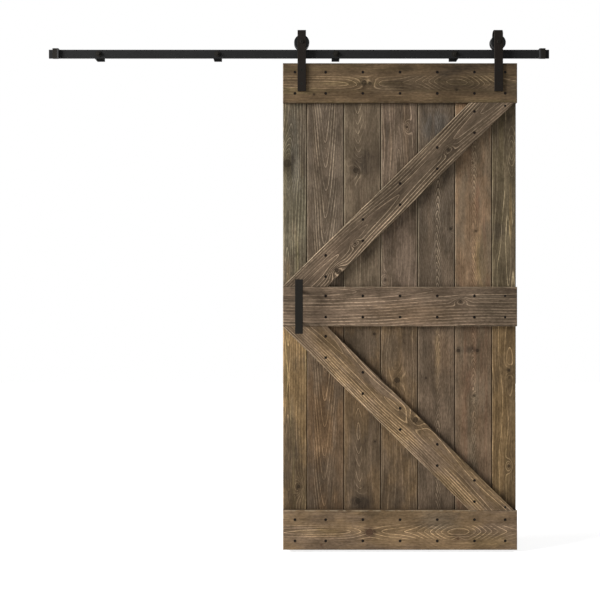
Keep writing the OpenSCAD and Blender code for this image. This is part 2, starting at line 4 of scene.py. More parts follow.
import bpy
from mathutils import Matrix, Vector


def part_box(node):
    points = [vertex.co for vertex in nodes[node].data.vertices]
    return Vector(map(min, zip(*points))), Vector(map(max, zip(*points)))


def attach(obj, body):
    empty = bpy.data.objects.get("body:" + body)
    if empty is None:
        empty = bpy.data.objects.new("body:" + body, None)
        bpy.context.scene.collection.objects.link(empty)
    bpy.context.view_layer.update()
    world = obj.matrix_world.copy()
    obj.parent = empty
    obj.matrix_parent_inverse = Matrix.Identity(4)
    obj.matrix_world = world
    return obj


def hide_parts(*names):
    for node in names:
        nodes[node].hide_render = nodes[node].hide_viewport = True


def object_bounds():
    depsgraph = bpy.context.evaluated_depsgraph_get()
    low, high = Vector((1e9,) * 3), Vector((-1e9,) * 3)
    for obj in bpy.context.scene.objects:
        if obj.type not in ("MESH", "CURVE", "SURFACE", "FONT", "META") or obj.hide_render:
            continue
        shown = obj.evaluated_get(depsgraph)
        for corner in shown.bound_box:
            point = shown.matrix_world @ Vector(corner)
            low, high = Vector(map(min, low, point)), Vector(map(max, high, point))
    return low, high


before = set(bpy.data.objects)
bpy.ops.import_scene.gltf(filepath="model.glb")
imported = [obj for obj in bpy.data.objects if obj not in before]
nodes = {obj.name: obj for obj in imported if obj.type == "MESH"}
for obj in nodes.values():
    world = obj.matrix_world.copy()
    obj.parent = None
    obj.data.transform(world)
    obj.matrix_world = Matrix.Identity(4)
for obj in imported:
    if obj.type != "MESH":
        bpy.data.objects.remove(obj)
cad_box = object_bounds()

# Names of the boards and of the hardware that shares a finish
PLANKS = [f"plank_{n}" for n in range(1, 8)]
RAILS = ["top_rail", "middle_rail", "bottom_rail"]
BRACES = ["upper_brace", "lower_brace"]
WOOD_SCREW_NODES = [f"{board}_screws" for board in RAILS + BRACES]
STRAPS = ["left_hanger_strap", "right_hanger_strap"]
STOPS = ["left_end_stop", "right_end_stop"]
AXLE_BOLTS = ["left_axle_bolt", "right_axle_bolt"]
COATED_SMALL = ["wall_screws", "wall_washers", "handle_posts", "strap_bolts", "axle_bushes"] + AXLE_BOLTS
FASTENERS = [
    "end_stop_set_screws", "strap_washers", "strap_nuts", "axle_nuts", "handle_bolts", "handle_washers",
]
WHEELS = ["left_wheel", "right_wheel"]
BUMPERS = ["left_bumper", "right_bumper"]
BEARINGS = [
    f"{side}_bearing_{piece}"
    for side in ("left", "right") for piece in ("outer_ring", "inner_ring", "balls")
]


def tint(red, green, blue):
    """A colour as it shows on screen, 0 to 255, as the linear colour that the nodes take."""
    def linear(level):
        share = level / 255
        return share / 12.92 if share <= 0.04045 else ((share + 0.055) / 1.055) ** 2.4
    return (linear(red), linear(green), linear(blue), 1.0)


def middle_of(node):
    """Middle of a node's box."""
    low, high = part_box(node)
    return (low + high) / 2


def axes_of(node, apart):
    """Where the screws or bolts of a node stand, as X and Z, found from points closer than apart."""
    clumps = []
    for vertex in nodes[node].data.vertices:
        place = Vector((vertex.co.x, vertex.co.z))
        for clump in clumps:
            if (place - clump[0]).length < apart:
                clump.append(place)
                break
        else:
            clumps.append([place])
    middles = []
    for clump in clumps:
        xs, zs = [place.x for place in clump], [place.y for place in clump]
        middles.append(((min(xs) + max(xs)) / 2, (min(zs) + max(zs)) / 2))
    return middles


# Node networks

SOCKET_TYPES = {
    "value": "NodeSocketFloat", "vector": "NodeSocketVector", "colour": "NodeSocketColor",
    "count": "NodeSocketInt", "geometry": "NodeSocketGeometry", "material": "NodeSocketMaterial",
}


class Wiring:
    """Adds nodes to one tree and joins their sockets, so that a network reads like a formula."""

    def __init__(self, tree):
        self.tree = tree

    def feed(self, socket, value):
        if isinstance(value, bpy.types.NodeSocket):
            self.tree.links.new(value, socket)
        elif value is not None:
            socket.default_value = value

    def add(self, kind, *values, named=None, **settings):
        """A new node with its settings made, its first inputs fed in order and others by name."""
        node = self.tree.nodes.new(kind)
        for name, value in settings.items():
            setattr(node, name, value)
        for socket, value in zip(node.inputs, values):
            self.feed(socket, value)
        for name, value in (named or {}).items():
            self.feed(node.inputs[name], value)
        return node

    def math(self, operation, *values):
        return self.add("ShaderNodeMath", *values, operation=operation).outputs[0]

    def times(self, first, *others):
        for other in others:
            first = self.math("MULTIPLY", first, other)
        return first

    def times_plus(self, one, two, added):
        return self.math("MULTIPLY_ADD", one, two, added)

    def plus(self, one, two):
        return self.math("ADD", one, two)

    def minus(self, one, two):
        return self.math("SUBTRACT", one, two)

    def over(self, one, two):
        return self.math("DIVIDE", one, two)

    def larger(self, one, two):
        return self.math("MAXIMUM", one, two)

    def smaller(self, one, two):
        return self.math("MINIMUM", one, two)

    def absolute(self, value):
        return self.math("ABSOLUTE", value)

    def scaled(self, vector, factors):
        return self.add("ShaderNodeVectorMath", vector, factors, operation="MULTIPLY").outputs[0]

    def moved(self, vector, offset):
        return self.add("ShaderNodeVectorMath", vector, offset, operation="ADD").outputs[0]

    def hypot(self, one, two):
        return self.math("SQRT", self.plus(self.times(one, one), self.times(two, two)))

    def blend(self, share, first, second):
        node = self.add("ShaderNodeMix", share, data_type="FLOAT")
        self.feed(node.inputs[2], first)
        self.feed(node.inputs[3], second)
        return node.outputs[0]

    def split(self, vector):
        return self.add("ShaderNodeSeparateXYZ", vector).outputs

    def joined(self, x, y, z):
        return self.add("ShaderNodeCombineXYZ", x, y, z).outputs[0]

    def noise(self, vector, scale, detail=2.0, roughness=0.5):
        return self.add("ShaderNodeTexNoise", named={
            "Vector": vector, "Scale": scale, "Detail": detail, "Roughness": roughness}).outputs[0]

    def ramp(self, value, start, end, low=0.0, high=1.0):
        """A value that goes smoothly from low to high while another goes from start to end."""
        return self.add(
            "ShaderNodeMapRange", value, start, end, low, high, interpolation_type="SMOOTHSTEP").outputs[0]

    def mix(self, share, first, second):
        node = self.add("ShaderNodeMix", data_type="RGBA")
        self.feed(node.inputs[0], share)
        self.feed(node.inputs[6], first)
        self.feed(node.inputs[7], second)
        return node.outputs[2]

    def group(self, tree, **values):
        """Places a node group; an input called Ring Gap is given as ring_gap."""
        node = self.add("ShaderNodeGroup", node_tree=tree)
        for name, value in values.items():
            self.feed(node.inputs[name.replace("_", " ").title()], value)
        return node.outputs


def new_group(name, kind, inputs, outputs):
    """An empty node group with named sockets: its wiring, its inputs and a call that sets an output.

    An input is given as the kind of its socket, or as a number that it has by itself.
    """
    tree = bpy.data.node_groups.new(name, kind)
    for label, usual in inputs.items():
        number = "count" if isinstance(usual, int) else "value"
        socket = usual if usual in SOCKET_TYPES else number
        made = tree.interface.new_socket(label, in_out="INPUT", socket_type=SOCKET_TYPES[socket])
        if usual != socket:
            made.default_value = usual
    for label, socket in outputs.items():
        tree.interface.new_socket(label, in_out="OUTPUT", socket_type=SOCKET_TYPES[socket])
    wiring = Wiring(tree)
    given = wiring.add("NodeGroupInput").outputs
    result = wiring.add("NodeGroupOutput").inputs
    return wiring, given, lambda label, value: wiring.feed(result[label], value)


def bare_material(name):
    """A material with no nodes, and its wiring."""
    material = bpy.data.materials.new(name)
    material.use_nodes = True
    material.node_tree.nodes.clear()
    return material, Wiring(material.node_tree)


def new_material(name):
    """A material with its wiring, its main shader and the Object position on the surface."""
    material, wiring = bare_material(name)
    shader = wiring.add("ShaderNodeBsdfPrincipled")
    wiring.add("ShaderNodeOutputMaterial", shader.outputs[0])
    position = wiring.add("ShaderNodeTexCoord").outputs["Object"]
    return material, wiring, shader, position


def dress(wiring, shader, colour, roughness, height, strength, distance, gloss=None):
    """Feeds a surface's colour, roughness and relief to its shader, and sets how much it mirrors."""
    bump = wiring.add(
        "ShaderNodeBump", named={"Strength": strength, "Distance": distance, "Height": height})
    wiring.feed(shader.inputs["Base Color"], colour)
    wiring.feed(shader.inputs["Roughness"], roughness)
    wiring.feed(shader.inputs["Normal"], bump.outputs[0])
    wiring.feed(shader.inputs["Specular IOR Level"], gloss)


def set_finish(node, material):
    """Gives a node this material alone."""
    mesh = nodes[node].data
    mesh.materials.clear()
    mesh.materials.append(material)


# Shared effects. A board's own position runs along the grain on X, into the wall on Y, across on Z.

KNOT_RINGS = 2.6
KNOT_SHARE = 0.74
WIDEST_LINE = 0.18
FINER = 2.7
PALE_GAINS = (3.6, 3.7, 3.6)
PIT_TONE = tint(50, 41, 33)


def growth_rings_group():
    """Counts growth rings on a flat-sawn board: arches along its middle, lines along its sides.

    Slope is the number of rings that one metre crosses, so that lines can keep one width.
    """
    wiring, given, give = new_group(
        "Growth rings", "ShaderNodeTree",
        {
            "Position": "vector", "Arch Gap": 0.1, "Line Gap": 0.01, "Heart Shift": 0.0,
            "Arch Round": 0.6, "Sway": 1.0, "Sway Length": 0.4, "Warp": 0.6, "Seed": 0.0,
        },
        {"Rings": "value", "Slope": "value"},
    )
    along, depth, across = wiring.split(given["Position"])
    seed = given["Seed"]
    travel = wiring.over(along, given["Sway Length"])
    drift = wiring.noise(wiring.joined(travel, seed, 0.0), 1.0, 1.0)
    wander = wiring.noise(wiring.joined(travel, 0.0, wiring.plus(seed, 17.0)), 0.7, 1.0)
    side = wiring.minus(across, given["Heart Shift"])
    side = wiring.times_plus(wiring.minus(wander, 0.5), 0.05, side)
    side = wiring.over(side, given["Line Gap"])
    deep = wiring.plus(wiring.over(depth, given["Line Gap"]), given["Arch Round"])
    arch = wiring.hypot(side, deep)
    climb = wiring.over(1.0, given["Arch Gap"])
    rings = wiring.times_plus(along, climb, arch)
    sway = wiring.times(wiring.minus(drift, 0.5), given["Sway"])
    rings = wiring.times_plus(sway, 2.0, rings)
    uneven = wiring.moved(
        wiring.scaled(given["Position"], (1.6, 14.0, 14.0)), wiring.joined(seed, seed, seed))
    warp = wiring.times(wiring.minus(wiring.noise(uneven, 1.0, 3.0), 0.5), given["Warp"])
    give("Rings", wiring.times_plus(warp, 2.0, rings))
    tilt = wiring.over(wiring.over(side, arch), given["Line Gap"])
    give("Slope", wiring.hypot(climb, tilt))
    return wiring.tree


def knot_group():
    """Bends the growth rings round one place, and puts a dark knot there if it has a size."""
    wiring, given, give = new_group(
        "Knot", "ShaderNodeTree",
        {
            "Position": "vector", "Rings": 0.0, "Slope": 50.0, "Knots": 0.0, "Along": 0.0,
            "Across": 0.0, "Size": 0.01, "Reach Along": 0.04, "Reach Across": 0.02, "Push": 3.0,
        },
        {"Rings": "value", "Slope": "value", "Knots": "value"},
    )
    along, _, across = wiring.split(given["Position"])
    ahead = wiring.minus(along, given["Along"])
    aside = wiring.minus(across, given["Across"])
    far_ahead = wiring.over(ahead, given["Reach Along"])
    far_aside = wiring.over(aside, given["Reach Across"])
    far = wiring.hypot(far_ahead, far_aside)
    bend = wiring.math("EXPONENT", wiring.times(far, far, -1.0))
    push = wiring.times(bend, given["Push"])
    steep = wiring.hypot(
        wiring.over(far_ahead, given["Reach Along"]),
        wiring.over(far_aside, given["Reach Across"]))
    steep = wiring.times(steep, push, 2.0)

    rough = wiring.noise(given["Position"], 190.0, 2.0)
    near = wiring.over(wiring.hypot(ahead, aside), given["Size"])
    near = wiring.plus(near, wiring.times_plus(rough, 0.7, -0.35))
    core = wiring.ramp(near, 1.15, 0.8)
    give("Rings", wiring.blend(
        core, wiring.plus(given["Rings"], push), wiring.times(near, KNOT_RINGS)))
    give("Slope", wiring.blend(
        core, wiring.hypot(given["Slope"], steep), wiring.over(KNOT_RINGS, given["Size"])))
    halo = wiring.times(wiring.ramp(near, 2.6, 0.9), 0.45)
    give("Knots", wiring.larger(given["Knots"], wiring.larger(core, halo)))
    return wiring.tree


def smudge_group():
    """Soft oval mark with a ragged border at one place on a board."""
    wiring, given, give = new_group(
        "Smudge", "ShaderNodeTree",
        {"Position": "vector", "Along": 0.0, "Across": 0.0, "Length": 0.05, "Width": 0.03},
        {"Mark": "value"},
    )
    along, _, across = wiring.split(given["Position"])
    ahead = wiring.over(wiring.minus(along, given["Along"]), given["Length"])
    aside = wiring.over(wiring.minus(across, given["Across"]), given["Width"])
    rough = wiring.noise(wiring.scaled(given["Position"], (30.0, 60.0, 60.0)), 1.0, 3.0, 0.6)
    far = wiring.plus(wiring.hypot(ahead, aside), wiring.times_plus(rough, 1.2, -0.6))
    give("Mark", wiring.ramp(far, 1.3, 0.4))
    return wiring.tree


def stained_grain_group():
    """Colour, relief and roughness of a brushed and stained board, from its rings and knots."""
    wiring, given, give = new_group(
        "Stained grain", "ShaderNodeTree",
        {
            "Position": "vector", "Rings": 0.0, "Slope": 50.0, "Knots": 0.0, "Stain": "colour",
            "Patch": "colour", "Streak": "colour", "Line Strength": 1.0, "Line Width": 0.0017,
            "Fine Lines": 0.35, "Heart Shift": 0.0, "Band": 1.0, "Patch Share": 0.7,
            "Streak Share": 0.4, "Knot Tone": "colour", "Seed": 0.0,
        },
        {"Color": "colour", "Height": "value", "Roughness": "value"},
    )
    seed = given["Seed"]
    place = wiring.moved(given["Position"], wiring.joined(seed, seed, seed))

    def ring_lines(share, weakest):
        """Pale and dark line of each ring, the pale one soft on one side, with a strength of its own."""
        rings = wiring.times(given["Rings"], share)
        width = wiring.times(given["Slope"], share, given["Line Width"])
        width = wiring.smaller(width, WIDEST_LINE)
        away = wiring.over(wiring.minus(wiring.math("FRACT", rings), 0.5), width)
        sharp = wiring.ramp(wiring.absolute(away), 1.0, 0.3)
        soft = wiring.times(wiring.ramp(away, -2.8, -0.3, 0.0, 0.25), wiring.ramp(away, 0.8, 0.2))
        dark = wiring.times(wiring.ramp(away, 0.5, 1.2), wiring.ramp(away, 3.0, 1.3))
        own = wiring.add("ShaderNodeTexWhiteNoise", noise_dimensions="1D")
        wiring.feed(own.inputs["W"], wiring.plus(wiring.math("FLOOR", rings), seed))
        strength = wiring.ramp(own.outputs[0], 0.0, 0.7, weakest, 1.0)
        pale = wiring.larger(sharp, soft)
        return wiring.times(pale, strength), wiring.times(dark, strength)

    fibre = wiring.noise(wiring.scaled(place, (7.0, 200.0, 200.0)), 1.0, 4.0, 0.6)
    broken = wiring.noise(wiring.scaled(place, (60.0, 150.0, 150.0)), 1.0, 3.0, 0.65)
    mottle = wiring.noise(wiring.scaled(place, (7.0, 12.0, 20.0)), 1.0, 3.0, 0.6)
    streaks = wiring.noise(wiring.scaled(place, (1.7, 30.0, 34.0)), 1.0, 3.0, 0.55)
    patches = wiring.noise(wiring.scaled(place, (3.0, 5.0, 9.0)), 1.0, 4.0, 0.6)
    flecks = wiring.noise(wiring.scaled(place, (26.0, 300.0, 330.0)), 1.0, 1.0)
    fading = wiring.noise(wiring.scaled(place, (3.2, 9.0, 16.0)), 1.0, 2.0)

    aside = wiring.absolute(wiring.minus(wiring.split(given["Position"])[2], given["Heart Shift"]))
    band = wiring.ramp(wiring.minus(aside, given["Band"]), 0.014, 0.0, 0.12, 1.0)
    fade = wiring.times(
        band, wiring.ramp(fading, 0.36, 0.56, 0.3, 1.0), wiring.ramp(broken, 0.28, 0.55, 0.5, 1.0))
    bold, beside = ring_lines(1.0, 0.6)
    finer, _ = ring_lines(FINER, 0.1)
    shown = wiring.times(fade, given["Line Strength"])
    line = wiring.times(bold, shown)
    line = wiring.times_plus(finer, wiring.times(fade, given["Fine Lines"]), line)

    patch = wiring.times(wiring.ramp(patches, 0.42, 0.58), given["Patch Share"])
    colour = wiring.mix(patch, given["Stain"], given["Patch"])
    streak = wiring.times(wiring.ramp(streaks, 0.5, 0.68), given["Streak Share"])
    colour = wiring.mix(streak, colour, given["Streak"])
    tone = wiring.times(
        wiring.ramp(fibre, 0.34, 0.66, 0.83, 1.15), wiring.ramp(broken, 0.32, 0.68, 0.83, 1.17),
        wiring.ramp(mottle, 0.36, 0.64, 0.76, 1.22))
    trough = wiring.times(beside, shown, -0.4)
    tone = wiring.times(tone, wiring.plus(trough, 1.0))
    pale = wiring.joined(*(wiring.times_plus(line, gain, 1.0) for gain in PALE_GAINS))
    colour = wiring.scaled(colour, wiring.joined(tone, tone, tone))
    colour = wiring.scaled(colour, pale)
    pits = wiring.ramp(flecks, 0.64, 0.76)
    colour = wiring.mix(wiring.times(pits, 0.5), colour, PIT_TONE)
    knots = wiring.times(given["Knots"], KNOT_SHARE)
    give("Color", wiring.mix(knots, colour, given["Knot Tone"]))

    height = wiring.times_plus(fibre, 0.5, wiring.times(line, 0.5))
    height = wiring.times_plus(pits, -0.4, height)
    give("Height", wiring.times_plus(given["Knots"], -0.25, height))
    give("Roughness", wiring.ramp(wiring.plus(fibre, line), 0.2, 1.3, 0.8, 0.92))
    return wiring.tree


def plank_joint_group():
    """Marks the dust low in the joints beside a plank and in the seams behind, with painted shade on
    the bevel on its right, and the rubbed wood, with a painted highlight on the bevel on its left.
    """
    wiring, given, give = new_group(
        "Plank joint", "ShaderNodeTree",
        {"Position": "vector", "Left Edge": 0.08, "Right Edge": 0.08},
        {"Dirt": "value", "Rubbed": "value"},
    )
    _, depth, across = wiring.split(given["Position"])
    from_left = wiring.minus(given["Left Edge"], across)
    from_right = wiring.plus(given["Right Edge"], across)
    # A narrow dark line of dust in the left joint, and painted shade over the right bevel, which faces
    # away from the lamp.
    left = wiring.ramp(from_left, 0.0012, 0.0004)
    dirt_and_shade = wiring.larger(left, wiring.ramp(from_right, 0.0028, 0.0014))
    back = wiring.ramp(depth, 0.012, 0.017)
    seam = wiring.ramp(wiring.smaller(from_left, from_right), 0.0034, 0.0018)
    give("Dirt", wiring.larger(dirt_and_shade, wiring.times(seam, back)))
    ragged = wiring.noise(wiring.scaled(given["Position"], (11.0, 90.0, 90.0)), 1.0, 3.0, 0.6)
    # Rubbed wood, with a painted highlight over the left bevel, which faces the lamp, and fainter wear by
    # the right edge.
    bevel = wiring.ramp(from_left, 0.0047, 0.0032)
    rim = wiring.times(wiring.ramp(from_right, 0.0085, 0.0062), 0.5)
    bevel = wiring.larger(bevel, rim)
    bevel = wiring.times(bevel, wiring.minus(1.0, back))
    give("Rubbed", wiring.times(bevel, wiring.ramp(ragged, 0.35, 0.6, 0.25, 1.0)))
    return wiring.tree


def worn_edge_group():
    """Marks the edges of a box about the position's origin, with a ragged inner border."""
    wiring, given, give = new_group(
        "Worn edge", "ShaderNodeTree",
        {"Position": "vector", "Half Size": "vector", "Reach": 0.002, "Grain": 60.0},
        {"Wear": "value"},
    )
    away = wiring.add("ShaderNodeVectorMath", given["Position"], operation="ABSOLUTE").outputs[0]
    away = wiring.add("ShaderNodeVectorMath", given["Half Size"], away, operation="SUBTRACT").outputs[0]
    x, y, z = wiring.split(away)
    nearest_two = wiring.larger(wiring.smaller(x, y), wiring.smaller(wiring.larger(x, y), z))
    ragged = wiring.noise(given["Position"], given["Grain"], 3.0, 0.6)
    reach = wiring.times(given["Reach"], wiring.ramp(ragged, 0.25, 0.75, 0.0, 2.0))
    give("Wear", wiring.ramp(nearest_two, reach, 0.0))
    return wiring.tree


def screw_ring_group():
    """Marks a dark ring round each of a board's screws: two rows, five even columns and two at the ends.
    """
    wiring, given, give = new_group(
        "Screw ring", "ShaderNodeTree",
        {
            "Position": "vector", "Pitch": 0.16, "Ends": 0.46, "Row": 0.05, "Rise": 0.0,
            "Reach": 0.008,
        },
        {"Mark": "value"},
    )
    x, _, z = wiring.split(given["Position"])
    column = wiring.math("ROUND", wiring.over(x, given["Pitch"]))
    column = wiring.larger(wiring.smaller(column, 2.0), -2.0)
    column = wiring.times(column, given["Pitch"])
    from_column = wiring.minus(x, column)
    from_end = wiring.minus(wiring.absolute(x), given["Ends"])
    beside = wiring.smaller(wiring.absolute(from_column), wiring.absolute(from_end))
    level = wiring.minus(z, wiring.times(column, given["Rise"]))
    above = wiring.minus(wiring.absolute(level), given["Row"])
    rough = wiring.noise(given["Position"], 260.0, 2.0)
    far = wiring.times_plus(wiring.minus(rough, 0.5), 0.004, wiring.hypot(beside, above))
    give("Mark", wiring.ramp(wiring.over(far, given["Reach"]), 1.0, 0.7))
    return wiring.tree


def coated_surface_group():
    """Fine pebble of a baked coat, with faint cloudy patches of wear."""
    wiring, given, give = new_group(
        "Coated surface", "ShaderNodeTree",
        {"Position": "vector", "Pebble": 900.0, "Cloud": 9.0},
        {"Pebbles": "value", "Clouds": "value"},
    )
    give("Pebbles", wiring.noise(given["Position"], given["Pebble"], 2.0, 0.6))
    give("Clouds", wiring.noise(given["Position"], given["Cloud"], 4.0, 0.6))
    return wiring.tree


growth_rings = growth_rings_group()
knot = knot_group()
smudge = smudge_group()
stained_grain = stained_grain_group()
plank_joint = plank_joint_group()
worn_edge = worn_edge_group()
screw_ring = screw_ring_group()
coated_surface = coated_surface_group()

# Stains, as they show on the boards
STAINS = {
    "olive": tint(95, 87, 71),
    "umber": tint(101, 88, 72),
    "hazel": tint(105, 90, 76),
    "slate": tint(95, 83, 70),
    "tan": tint(127, 104, 81),
    "sepia": tint(100, 88, 69),
    "amber": tint(114, 93, 66),
    "walnut": tint(105, 86, 64),
    "chestnut": tint(97, 77, 57),
    "fawn": tint(105, 89, 73),
    "clay": tint(112, 93, 74),
    "bark": tint(81, 68, 53),
    "driftwood": tint(111, 94, 78),
    "honey": tint(121, 100, 75),
    "cocoa": tint(90, 77, 63),
    "caramel": tint(114, 94, 70),
    "dusk": tint(84, 72, 59),
    "ash": tint(86, 80, 73),
    "charcoal": tint(57, 50, 43),
    "soot": tint(38, 32, 26),
    "cherry": tint(78, 57, 45),
    "russet": tint(118, 90, 71),
    "straw": tint(145, 122, 85),
    "moss": tint(105, 94, 62),
}
WORN_WOOD = tint(149, 136, 114)
# Dark ring round the screws.
SCREW_RING_TONE = tint(47, 37, 29)
# Dark tone of the dust in joints and seams, of the darker plank feet, and of painted shade in creases and
# on bevels turned from the lamp.
DIRT_AND_SHADE_TONE = tint(53, 43, 35)
